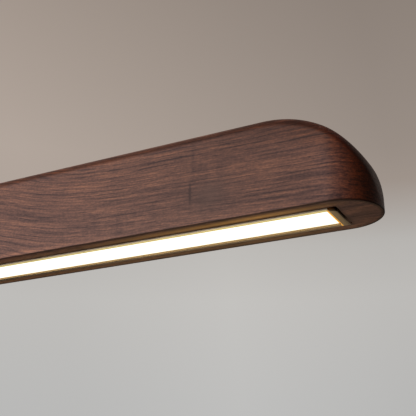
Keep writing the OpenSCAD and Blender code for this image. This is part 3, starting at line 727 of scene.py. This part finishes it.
# %% [markdown]
# ## The bar
#
# From above the bar is a long strip with half-round ends. From the side its top comes down to each
# end in one large arc, and its long top edges are rounded over with a router. It could be a box with
# bevels, but the arc and the half round meet in a slow double curve that a bevel can't follow. So the
# bar is a stack of rings that keep the plan's outline, each drawn in a little and set at the height
# that the arc gives at that place.

# %% Lay out the bar's curves
end_centre, sweep_start = bar_half - plan_radius, bar_half - sweep_long
top_round, foot_round = 8.0 * mm, 0.6 * mm
tip_curl, tip_fall = 6.0 * mm, 9.0 * mm
end_steps, side_steps = 36, 14
foot_steps, top_steps = 4, 12


def top_at(x):
    """Height of the bar's top, at a distance from the middle. The last of each tip curls down steeper."""
    past = max(0.0, abs(x) - sweep_start)
    curl = max(0.0, abs(x) - bar_half + tip_curl) / tip_curl
    return bar_top - sweep_radius + math.sqrt(sweep_radius ** 2 - past ** 2) - tip_fall * curl ** 3


def right_angle_in(steps):
    """The angles from 0 to a right angle, in even steps."""
    return [math.pi / 2 * i / steps for i in range(steps + 1)]


def plan_stations():
    """A quarter of the outline from the tip inwards, as an angle on the end and the centre it turns on."""
    step = (sweep_start - end_centre) / side_steps
    run = [(math.pi / 2, end_centre + step * i) for i in range(1, side_steps + 1)]
    return [(angle, end_centre) for angle in right_angle_in(end_steps)] + run


def plan_ring(inset):
    """The bar's outline from above, drawn in by an inset, from the right tip round by the far side."""
    radius = plan_radius - inset
    quarter = [(centre + radius * math.cos(angle), radius * math.sin(angle))
               for angle, centre in plan_stations()]
    far = quarter + [(-x, y) for x, y in reversed(quarter)]
    return far + [(x, -y) for x, y in reversed(far[1:-1])]


print("the outline has", len(plan_ring(0.0)), "points")

# %% Shape the outside of the bar
def foot_ring(angle):
    """A ring on the rounded lower edge, from 0 on the underside to a right angle on the side."""
    lift = foot_round * (1 - math.cos(angle))
    return [(x, y, wood_low.z + lift) for x, y in plan_ring(foot_round * (1 - math.sin(angle)))]


def top_ring(angle, drop=0.0):
    """A ring on the rounded top edge, from 0 on the side to a right angle on the top."""
    fall = top_round * (1 - math.sin(angle)) + drop
    return [(x, y, top_at(x) - fall) for x, y in plan_ring(top_round * (1 - math.cos(angle)))]


def bar_blank():
    """The bar before it is cut, with its flat top bridged between points that face each other."""
    over_foot, under_top = 1.6 * foot_round, 0.8 * mm
    rings = [foot_ring(a) for a in right_angle_in(foot_steps)]
    rings.append([(x, y, wood_low.z + over_foot) for x, y in plan_ring(0.0)])
    rings.append(top_ring(0.0, under_top))
    rings += [top_ring(a) for a in right_angle_in(top_steps)]
    build, rows = skin(rings)
    build.faces.new(reversed(rows[0]))
    crown = rows[-1]
    count = len(crown)
    for i in range(count // 2):
        facing_points = [crown[i], crown[i + 1], crown[(count - i - 1) % count], crown[(count - i) % count]]
        build.faces.new(list(dict.fromkeys(facing_points)))
    bmesh.ops.recalc_face_normals(build, faces=build.faces)
    return build


bar = as_object("walnut_bar", bar_blank())
print("blank of", len(bar.data.polygons), "faces")

# %% [markdown]
# The pocket for the channel is milled with a small cutter, its corners are squared out with a chisel,
# and its rim is eased with sandpaper. Deeper in lies the room for the driver, and three holes go up
# through the top for the two hangers and the flex. The cuts could be left out, as the channel covers
# them, but the lamp can be taken apart, so each is one Boolean with a cutter of the true size.

# %% Mill the pocket and drill the holes
pocket_corner, pocket_ease = 1.0 * mm, 0.2 * mm
cavity_half_x, cavity_half_y, cavity_corner = 250.0 * mm, 16.0 * mm, 6.0 * mm
hanger_hole, flex_hole = 4.2 * mm, 5.2 * mm
past_face = 1.0 * mm


def upright(node):
    """The place of the upright line that a piece stands on, and the piece's lowest and highest corner."""
    low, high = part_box(node)
    return (low.x + high.x) / 2, low, high


hanger_x, _, plate_high = upright("right_hanger_plate")


def slot_ring(half_x, half_y, corner, z, steps=8):
    """A rounded rectangle at a height."""
    ring = []
    for quarter, (sx, sy) in enumerate(((1, 1), (-1, 1), (-1, -1), (1, -1))):
        for i in range(steps + 1):
            angle = math.pi / 2 * (quarter + i / steps)
            ring.append((sx * (half_x - corner) + corner * math.cos(angle),
                         sy * (half_y - corner) + corner * math.sin(angle), z))
    return ring


def round_ring(x, radius, z, steps=48):
    """A level circle round an upright line."""
    return [(x + radius * math.cos(turn), radius * math.sin(turn), z) for turn in turns(steps)]


def pocket_cutter():
    """The pocket, a little wider at its rim."""
    foot = wood_low.z
    stations = ((pocket_ease, foot - 2 * past_face), (pocket_ease, foot), (0.0, foot + pocket_ease),
                (0.0, channel_high.z))
    return loft([slot_ring(pocket_half_x + ease, pocket_half_y + ease, pocket_corner + ease, z)
                 for ease, z in stations])


def cavity_cutter():
    """The room over the pocket, up to the underside of the bar's top."""
    heights = (channel_high.z - past_face, plate_high.z)
    return loft([slot_ring(cavity_half_x, cavity_half_y, cavity_corner, z) for z in heights])


def hole_cutter(x, radius):
    """A hole through the bar's top."""
    return loft([round_ring(x, radius, z) for z in (plate_high.z - past_face, bar_top + past_face)])


cut_away(bar, [pocket_cutter(), cavity_cutter(), hole_cutter(-hanger_x, hanger_hole),
               hole_cutter(hanger_x, hanger_hole), hole_cutter(0.0, flex_hole)])
dressed(bar, satin_walnut, "wood_body")

# %% [markdown]
# ## Champagne metal
#
# The channel is extruded aluminium, blasted and then anodised in a pale champagne tone. Such a skin
# is metal with a fine silk drawn along the bar, so its shine is broad and a little longer across the
# grain than along it. The silk could be a brushed picture, but a cloud stretched hard along the bar
# does it at any scale, in the roughness and in a very shallow relief.

# %% Mix the champagne metal
def silk_metal(name, light, dark, roughness, silk_per_mm):
    """A metal with a fine silk in its shine."""
    finish, board, surface = new_finish(name)
    place = place_in_mm(board)
    silk = cloud(stretched(place, silk_per_mm, 1.3), 3.0)
    age = cloud(stretched(place, (0.05, 0.05, 0.05), 6.1), 2.0)
    wire(surface, {
        "Base Color": mixed(tuned(0.5, (silk, 0.5), (age, 0.5)), dark, light),
        "Roughness": between(silk, 0.3, 0.7, roughness - 0.06, roughness + 0.06),
        "Normal": pressed(silk, 0.12, 0.05 * mm),
        "Metallic": 1.0,
    })
    return finish


along_the_bar, up_and_down = (0.3, 9.0, 9.0), (0.4, 0.4, 7.0)
champagne = silk_metal("champagne_metal", paint(172, 159, 137), paint(151, 138, 117), 0.42, along_the_bar)
satin_nickel = silk_metal("satin_nickel", paint(205, 199, 188), paint(182, 175, 164), 0.3, up_and_down)
print("metals mixed:", champagne.name, satin_nickel.name)

# %% [markdown]
# ## The channel and its end caps
#
# The channel is one profile from end to end: a back with two screw ports under it, two sides, and at
# the mouth two lips with a slot above them that holds the opal strip. It could be joined from flat
# bars, but an extruded profile has no joints, so its outline is drawn once and run along the bar.

# %% Draw the channel's profile
lip_z, channel_top = channel_low.z, channel_high.z
channel_half, outer_y = channel_high.x, channel_high.y
side_wall, lip_wide, back_thick = 1.6 * mm, 3.0 * mm, 2.0 * mm
inner_y, mouth_y = outer_y - side_wall, outer_y - lip_wide
web_under = channel_top - back_thick
opal_low, opal_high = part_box("diffuser")
slot_top = opal_high.z + 0.2 * mm
rib_top = slot_top + 1.0 * mm
screw_low, screw_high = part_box("end_cap_screws")
screw_head_r = (screw_high.z - screw_low.z) / 2
screw_r = screw_head_r / 2
screw_gap = 0.05 * mm
port_r = 2.6 * mm
port_y = screw_high.y - screw_head_r
port_z = (screw_high.z + screw_low.z) / 2


def port_arc(steps=9):
    """The screw port in the corner under the back, from the back round to the side."""
    rise = web_under - port_z
    reach = math.sqrt(port_r ** 2 - rise ** 2)
    start, stop = math.atan2(rise, -reach), 2 * math.pi - math.atan2(reach, rise)
    angles = [start + (stop - start) * i / steps for i in range(steps + 1)]
    return [(port_y + port_r * math.cos(angle), port_z + port_r * math.sin(angle)) for angle in angles]


def channel_outline():
    """The profile, as (y, z) from the right lip round to the left one and back along the inside."""
    right = [(mouth_y, lip_z), (outer_y, lip_z), (outer_y, channel_top)]
    inside = port_arc() + [(inner_y, rib_top), (mouth_y, rib_top), (mouth_y, slot_top),
                           (inner_y, slot_top), (inner_y, opal_low.z), (mouth_y, opal_low.z)]
    left = [(-y, z) for y, z in reversed(right)]
    return right + left + [(-y, z) for y, z in reversed(inside)] + inside


print("the profile has", len(channel_outline()), "corners")

# %% [markdown]
# The strip's light creeps over the lips as a pale sheen, and it comes out amber at the seam against
# the caps. Each cap's near corner lies in shade, and the far part of its outer face is a little
# lighter. Real light through real plastic would need very many samples to look clean, so this weak
# glow and shade are painted on a copy of the metal, by the distance from the seam and the lips.

# %% Let the light creep over the lips
cap_depth = (cap_high.x - channel_half) / mm
lip_mm, strip_mm = lip_z / mm, opal_low.z / mm
mouth_mm, outer_mm = mouth_y / mm, outer_y / mm


def lit_lips():
    """The champagne metal with painted light on the lips, at the seam and on the caps' outer faces, and
    painted shade on the lips' faces and the caps' near corners.
    """
    finish = champagne.copy()
    finish.name = "lit_champagne_metal"
    board = finish.node_tree
    surface = board.nodes["Principled BSDF"]
    along, across, up = split(place_in_mm(board))
    aside = abs(across)
    from_seam = abs(along) - channel_half / mm
    below_strip = between(up, strip_mm + 0.2, strip_mm)

    inside = between(aside, mouth_mm + 0.3, mouth_mm + 0.1) * below_strip * between(from_seam, 0.05, -0.05)
    outside = between(aside, outer_mm - 0.15, outer_mm - 0.02)
    shade_width = between(from_seam, 0.0, cap_depth, 0.9, 5.0)
    corner = between(across + outer_mm - shade_width, 0.6, -0.6) * between(from_seam, 0.2, 0.6)
    metal = Value(surface.inputs["Base Color"].links[0].from_socket)
    # Painted shade: darker inner faces of the lips under the strip, darker outer faces, and each cap's near
    # corner.
    shaded = ((inside, paint(136, 114, 80)), (outside, paint(124, 112, 96)), (corner, paint(49, 28, 9)))
    for mark, colour in shaded:
        metal = mixed(mark, metal, colour)

    # Painted light: the amber seam, the pale sheen that creeps over the lips, and the lighter far part of
    # each cap's outer face.
    inside_wall = between(aside, outer_mm - 0.2, outer_mm - 0.6)
    seam = between(abs(from_seam - 0.1), 0.8, 0.4) * below_strip * inside_wall
    end_face = between(from_seam, cap_depth - 0.3, cap_depth - 0.2)
    glow = mixed(seam, paint(255, 236, 150), paint(255, 168, 0))
    glow = mixed(end_face, glow, paint(50, 37, 29))
    lips = between(up, lip_mm + 0.3, lip_mm + 0.1) * between(from_seam, -0.4, 0.0, 1.0, 0.0)
    creep = lips * between(across, -14.0, 0.0, 0.48, 0.0)
    far_face = end_face * between(across, 4.0, 12.0)
    strength = higher(higher(creep, seam * 0.55), far_face)
    wire(surface, {"Base Color": metal, "Emission Color": glow, "Emission Strength": strength})
    return finish


lit_champagne = lit_lips()
print("lit metal:", len(lit_champagne.node_tree.nodes), "nodes")

# %% [markdown]
# The profile is sawn to length and drilled: along each port for the screws of the caps, and through
# the back for the leads. Its edges are sharp to the eye but not to the finger, so the outline is eased
# by a quarter of a millimetre, which is enough to catch a line of light.

# %% Saw and drill the channel
profile_ease = 0.25 * mm
lead_hole_r = 3.0 * mm
bore_r = screw_r + screw_gap
drill_end = channel_half + past_face


def run_along(outline, low_x, high_x):
    """A profile drawn out along the bar."""
    return loft([[(x, y, z) for y, z in outline] for x in (low_x, high_x)])


def level_cutter(y, z, *stations, sides=32):
    """A drill that runs along the bar: each station is a place along it and a radius."""
    return loft([[(x, y + radius * math.cos(turn), z + radius * math.sin(turn)) for turn in turns(sides)]
                 for x, radius in stations])


profile = eased(channel_outline(), profile_ease, 3)
channel = as_object("light_channel", run_along(profile, -channel_half, channel_half))
port_drills = [level_cutter(side * port_y, port_z, (-drill_end, bore_r), (drill_end, bore_r))
               for side in (-1, 1)]
bush_x = upright("web_grommet")[0]
lead_heights = (web_under - past_face, channel_top + past_face)
lead_drill = loft([round_ring(bush_x, lead_hole_r, z) for z in lead_heights])
cut_away(channel, port_drills + [lead_drill])
dressed(channel, lit_champagne, "led_channel")

# %% [markdown]
# Two thick plates close the channel's ends. A plate could be a box with a bevel, but a bevel would run
# into the screw holes. So the eased outline is drawn in a little at both faces, and the two countersunk
# holes are cut after that.

# %% Cut the end caps
face_ease, outline_ease = 0.15 * mm, 0.3 * mm
sink_past, bore_long = 0.2 * mm, 9.0 * mm


def cap_plate(low_x, high_x):
    """A plate whose outline and faces are eased all round."""
    outline = [(-outer_y, lip_z), (outer_y, lip_z), (outer_y, channel_top), (-outer_y, channel_top)]
    middle_z = (lip_z + channel_top) / 2

    def ring(x, inset):
        return [(x, y - math.copysign(inset, y), z - math.copysign(inset, z - middle_z))
                for y, z in eased(outline, outline_ease)]

    third = face_ease / 3
    return loft([ring(low_x, face_ease), ring(low_x + third, third), ring(low_x + face_ease, 0.0),
                 ring(high_x - face_ease, 0.0), ring(high_x - third, third), ring(high_x, face_ease)])


for side in ("left", "right"):
    plate_from, plate_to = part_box(side + "_end_cap")
    cap = as_object(side + "_cap_plate", cap_plate(plate_from.x, plate_to.x))
    outward = math.copysign(1.0, plate_to.x)
    outer_x = outward * max(abs(plate_from.x), abs(plate_to.x))
    sink = ((outer_x - outward * bore_long, bore_r), (outer_x - outward * screw_r, bore_r),
            (outer_x + outward * sink_past, screw_head_r + screw_gap + sink_past))
    cut_away(cap, [level_cutter(y, port_z, *sink) for y in (-port_y, port_y)])
    dressed(cap, lit_champagne, side + "_end_cap")

# %% [markdown]
# ## The opal strip
#
# The diffuser is a strip of milky plastic, lit from behind. Over the boards it is bright enough to
# look plain white, with a thin cream line along the lips. Against the caps there is no board behind
# it, so the light has come a long way through the plastic and turns a deep orange. It could be real
# milky plastic over real lights, but that takes very long to render clean. So the strip glows by
# itself, and its colour is painted by the distance from its sides and ends.

# %% Light the opal strip
opal_ease = 0.2 * mm


def glowing_opal():
    """Milky plastic that glows: white inside, cream along the lips and deep orange at the caps."""
    finish, board, surface = new_finish("glowing_opal")
    place = place_in_mm(board)
    along, across, _ = split(place)
    from_side = mouth_mm - abs(across)
    from_cap = channel_half / mm - abs(along)
    side_tone = shades(between(from_side, 0.0, 2.0),
                       (0.0, paint(244, 214, 150)), (0.6, paint(255, 250, 238)))
    cap_tone = shades(between(from_cap, 0.0, 4.0), (0.24, paint(255, 150, 0)),
                      (0.38, paint(255, 206, 70)), (0.52, paint(255, 252, 244)))
    inward = between(from_side, 0.3, 2.0).reckon("MINIMUM", between(from_cap, 1.0, 2.4))
    haze = cloud(stretched(place, (0.2, 0.2, 0.2), 4.4), 2.0)
    milk = mixed(haze, paint(246, 243, 234), paint(250, 248, 242))
    wire(surface, {
        "Base Color": mixed(between(from_cap, 2.0, 1.2), milk, paint(150, 70, 0)),
        "Emission Color": mixed(1.0, side_tone, cap_tone, "MULTIPLY"),
        "Emission Strength": inward * 0.9 + 0.6,
        "Roughness": 0.55,
    })
    return finish


opal_outline = [(opal_low.y, opal_low.z), (opal_high.y, opal_low.z),
                (opal_high.y, opal_high.z), (opal_low.y, opal_high.z)]
opal = as_object("opal_strip", run_along(eased(opal_outline, opal_ease, 3), opal_low.x, opal_high.x))
dressed(opal, glowing_opal(), "diffuser")

# %% [markdown]
# ## Turned pieces on the top
#
# The lamp hangs from two wire grippers, and its flex comes in by a small gland between them. All are
# turned on a lathe, so each is a profile that is spun round an upright line. A plain cylinder would
# do from afar, but a turned edge is never sharp: each corner is eased, and the pieces that a hand
# tightens have a knurl. The first to be turned are the seats, flat rings between gripper and wood.

# %% Turn the seats of the grippers
seat_ease = 0.5 * mm
knurl_teeth = 36


def spun(x, profile, steps=72, knurl=None):
    """A profile of (radius, height) spun round an upright line, with the teeth of a knurl if it has one."""
    rings = []
    for angle in turns(steps):
        ring = []
        for radius, z in profile:
            if knurl and radius > knurl["over"] and knurl["low"] < z < knurl["high"]:
                radius -= knurl["depth"] * (0.5 - 0.5 * math.cos(knurl_teeth * angle))
            ring.append((x + radius * math.cos(angle), radius * math.sin(angle), z))
        rings.append(ring)
    return loft(rings, joined=True)


for side in ("left", "right"):
    x, ring_low, ring_high = upright(side + "_seat_ring")
    ring_r = ring_high.x - x
    ring_profile = [(hanger_hole, ring_low.z), (ring_r, ring_low.z), (ring_r, ring_high.z),
                    (hanger_hole, ring_high.z)]
    seat = as_object(side + "_turned_seat", spun(x, eased(ring_profile, seat_ease)))
    dressed(seat, champagne, side + "_seat_ring")

# %% [markdown]
# A barrel is the gripper's body. It has a knurled foot, two fine grooves and eased rims outside, and
# inside a bore whose cone wedges the balls against the wire. The knurl could be cut with a Boolean for
# each tooth. It is quicker to let the radius swing while the profile is spun.

# %% Turn the barrels of the grippers
turned_ease = 0.12 * mm
knurl_steps = 5 * knurl_teeth


def groove(radius, z, half=0.35 * mm, depth=0.3 * mm):
    """The four corners of a fine groove, from below to above."""
    floor_r = radius - depth
    return [(radius, z - half), (floor_r, z - half / 2), (floor_r, z + half / 2), (radius, z + half)]


def grip_stretch(radius, low_z, high_z, run_in=0.35 * mm):
    """The corners of a knurled stretch: the knurl starts and stops over a short run."""
    return [(radius, z) for z in (low_z, low_z + run_in, high_z - run_in, high_z)]


def knurl_on(radius, low_z, high_z, depth):
    """The knurl of a stretch. It bites the outer skin only, and stays clear of the stretch's ends."""
    skin_deep, clear = 0.1 * mm, 0.2 * mm
    return {"depth": depth, "over": radius - skin_deep, "low": low_z + clear, "high": high_z - clear}


def barrel_profile(low_z, high_z, radius, grip):
    """Up the outside, over the top and down the bore, whose cone wedges the balls."""
    foot_chamfer, top_chamfer = 0.4 * mm, 1.0 * mm
    socket_r, neck_r, throat_r, chamber_r = 4.05 * mm, 1.9 * mm, 2.4 * mm, 3.43 * mm
    neck_z, cone_foot, floor = high_z - 2.1 * mm, high_z - 7.95 * mm, high_z - 14.45 * mm
    low_groove, high_groove = low_z + 8.2 * mm, high_z - 3.0 * mm
    outside = [(socket_r, low_z), (radius - foot_chamfer, low_z), (radius, low_z + foot_chamfer)]
    outside += grip_stretch(radius, *grip) + groove(radius, low_groove) + groove(radius, high_groove)
    outside += [(radius, high_z - top_chamfer), (radius - top_chamfer, high_z)]
    bore = [(neck_r, high_z), (neck_r, neck_z), (throat_r, neck_z), (chamber_r, cone_foot),
            (chamber_r, floor), (socket_r, floor)]
    return outside + bore


for side in ("left", "right"):
    x, barrel_low, barrel_high = upright(side + "_gripper_barrel")
    radius = barrel_high.x - x
    grip = (barrel_low.z + 1.0 * mm, barrel_low.z + 7.4 * mm)
    profile = eased(barrel_profile(barrel_low.z, barrel_high.z, radius, grip), turned_ease, 2)
    knurl = knurl_on(radius, *grip, depth=0.28 * mm)
    barrel = as_object(side + "_turned_barrel", spun(x, profile, knurl_steps, knurl))
    dressed(barrel, champagne, side + "_gripper_barrel")

# %% [markdown]
# The gland holds the flex: its body goes through the bar's top, and a knurled nut presses a rubber
# seal round the flex. Both are spun like the barrels, from the corners of the construction pieces.

# %% Turn the gland of the flex
gland_low, gland_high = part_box("gland_body")
nut_low, nut_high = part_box("gland_cap")
seal_low, seal_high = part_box("gland_seal")
thread_r, flex_r = 5.0 * mm, 3.2 * mm
flange_r, flange_top, flange_chamfer = gland_high.x, nut_low.z - 0.3 * mm, 0.4 * mm
seat_r = seal_high.x + screw_gap
body_profile = [
    (flex_r, gland_low.z), (thread_r, gland_low.z), (thread_r, bar_top), (flange_r, bar_top),
    (flange_r, flange_top - flange_chamfer), (flange_r - flange_chamfer, flange_top),
    (thread_r, flange_top), (thread_r, gland_high.z), (seat_r, gland_high.z), (seat_r, seal_low.z),
    (flex_r, seal_low.z),
]
gland = as_object("turned_gland", spun(0.0, eased(body_profile, turned_ease, 2)))
dressed(gland, champagne, "gland_body")

nut_r, nut_bore = nut_high.x, thread_r + screw_gap
nut_foot_chamfer, nut_top_chamfer, crown_thick = 0.3 * mm, 1.0 * mm, 2.5 * mm
nut_grip = (nut_low.z + 0.6 * mm, nut_high.z - 1.8 * mm)
crown_z = nut_high.z - crown_thick
nut_profile = [
    (nut_bore, nut_low.z), (nut_r - nut_foot_chamfer, nut_low.z), (nut_r, nut_low.z + nut_foot_chamfer),
    *grip_stretch(nut_r, *nut_grip),
    (nut_r, nut_high.z - nut_top_chamfer), (nut_r - nut_top_chamfer, nut_high.z), (flex_r, nut_high.z),
    (flex_r, crown_z), (nut_bore, crown_z),
]
nut_knurl = knurl_on(nut_r, *nut_grip, depth=0.35 * mm)
nut = as_object("knurled_gland_nut", spun(0.0, eased(nut_profile, turned_ease, 2), knurl_steps, nut_knurl))
dressed(nut, champagne, "gland_cap")

# %% [markdown]
# ## Pieces that stay as built
#
# What lies inside the bar keeps its exact construction shape: boards, driver, screws and leads. Each
# still gets a finish with the small unevenness of the real stuff, because the lamp can be taken apart.
# One recipe serves them all, with a light and a dark tone, the fineness of its specks, and its shine.

# %% Finish the inner pieces
def speckled(name, light, dark, per_mm, roughness, metallic=0.0, relief=0.1):
    """A plain stuff with a fine unevenness in its colour, its shine and its relief."""
    finish, board, surface = new_finish(name)
    shift = 1.7 * len(name)
    specks = cloud(stretched(place_in_mm(board), per_mm, shift), 3.0)
    wire(surface, {
        "Base Color": mixed(specks, dark, light),
        "Roughness": between(specks, 0.3, 0.7, roughness - 0.07, roughness + 0.07),
        "Normal": pressed(specks, relief, 0.1 * mm),
        "Metallic": metallic,
    })
    return finish


plain_stuffs = {
    "white_board": (paint(240, 240, 234), paint(226, 226, 220), (1.5, 1.5, 1.5), 0.4),
    "light_chip": (paint(250, 222, 110), paint(238, 200, 84), (2.0, 2.0, 2.0), 0.35),
    "zinc_steel": (paint(190, 194, 200), paint(158, 163, 170), (1.2, 1.2, 1.2), 0.38, 1.0),
    "bright_steel": (paint(214, 216, 218), paint(196, 198, 202), (2.0, 2.0, 2.0), 0.2, 1.0, 0.03),
    "plain_brass": (paint(214, 184, 112), paint(190, 158, 88), (0.4, 0.4, 5.0), 0.3, 1.0),
    "black_rubber": (paint(46, 46, 46), paint(30, 30, 30), (2.5, 2.5, 2.5), 0.75, 0.0, 0.25),
    "red_lead": (paint(176, 48, 40), paint(150, 36, 30), (0.6, 2.0, 2.0), 0.45),
    "blue_lead": (paint(62, 98, 160), paint(48, 80, 138), (0.6, 2.0, 2.0), 0.45),
    "driver_tray": (paint(196, 198, 200), paint(172, 174, 178), (0.2, 4.0, 4.0), 0.4, 1.0),
    "white_plastic": (paint(232, 232, 226), paint(220, 220, 214), (2.2, 2.2, 2.2), 0.5, 0.0, 0.3),
    "green_board": (paint(52, 118, 70), paint(38, 96, 56), (0.8, 0.8, 0.8), 0.4),
    "dark_core": (paint(74, 74, 80), paint(50, 50, 56), (1.6, 1.6, 1.6), 0.6, 0.0, 0.3),
    "blue_sleeve": (paint(56, 76, 124), paint(42, 60, 104), (1.0, 1.0, 0.4), 0.3),
    "copper_winding": (paint(196, 124, 66), paint(150, 84, 40), (3.0, 3.0, 0.5), 0.3, 0.6),
}
finishes = {name: speckled(name, *looks) for name, looks in plain_stuffs.items()}
finishes["champagne_metal"] = champagne
finishes["nickel_plate"] = satin_nickel
finishes["walnut"] = satin_walnut
finishes["opal"] = opal.data.materials[0]
for row in frame["record"]["subparts"]:
    built = frame["nodes"][row["node"]]
    if not built.material_slots:
        built.data.materials.append(None)
    for slot in built.material_slots:
        slot.material = finishes[row["material_slot"]]

# %% [markdown]
# ## The springs under the plungers
#
# Under each plunger sits a small spring of five turns, wound from half-millimetre steel wire. A pressed
# plunger pushes it together, so it can't keep its built shape at every pose. It could be left out, as
# nobody sees it, but then the lamp would have a hole when it is opened. So the wire is wound again here
# as a skin over rings that climb in a screw line.

# %% Wind the springs
wire_r = 0.25 * mm
spring_turns, rings_per_turn, wire_sides = 5, 24, 10
spring_play = 0.02 * mm


def wound(x, coil_r, low_z, high_z):
    """One wire that climbs round an upright line, from one height to another."""
    steps = spring_turns * rings_per_turn
    climb = high_z - low_z - 2 * wire_r
    rings = []
    for i in range(steps + 1):
        turn = 2 * math.pi * i / rings_per_turn
        z = low_z + wire_r + climb * i / steps
        ring = []
        for angle in turns(wire_sides):
            out = coil_r + wire_r * math.cos(angle)
            ring.append((x + out * math.cos(turn), out * math.sin(turn), z + wire_r * math.sin(angle)))
        rings.append(ring)
    return loft(rings)


for side in ("left", "right"):
    node = side + "_plunger_spring"
    x, spring_low, spring_high = upright(node)
    coil_r = (spring_high.x - spring_low.x) / 2 - wire_r
    spring = as_object(side + "_wound_spring", wound(x, coil_r, spring_low.z, spring_high.z - spring_play))
    dressed(spring, finishes["bright_steel"], node)
    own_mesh(spring)
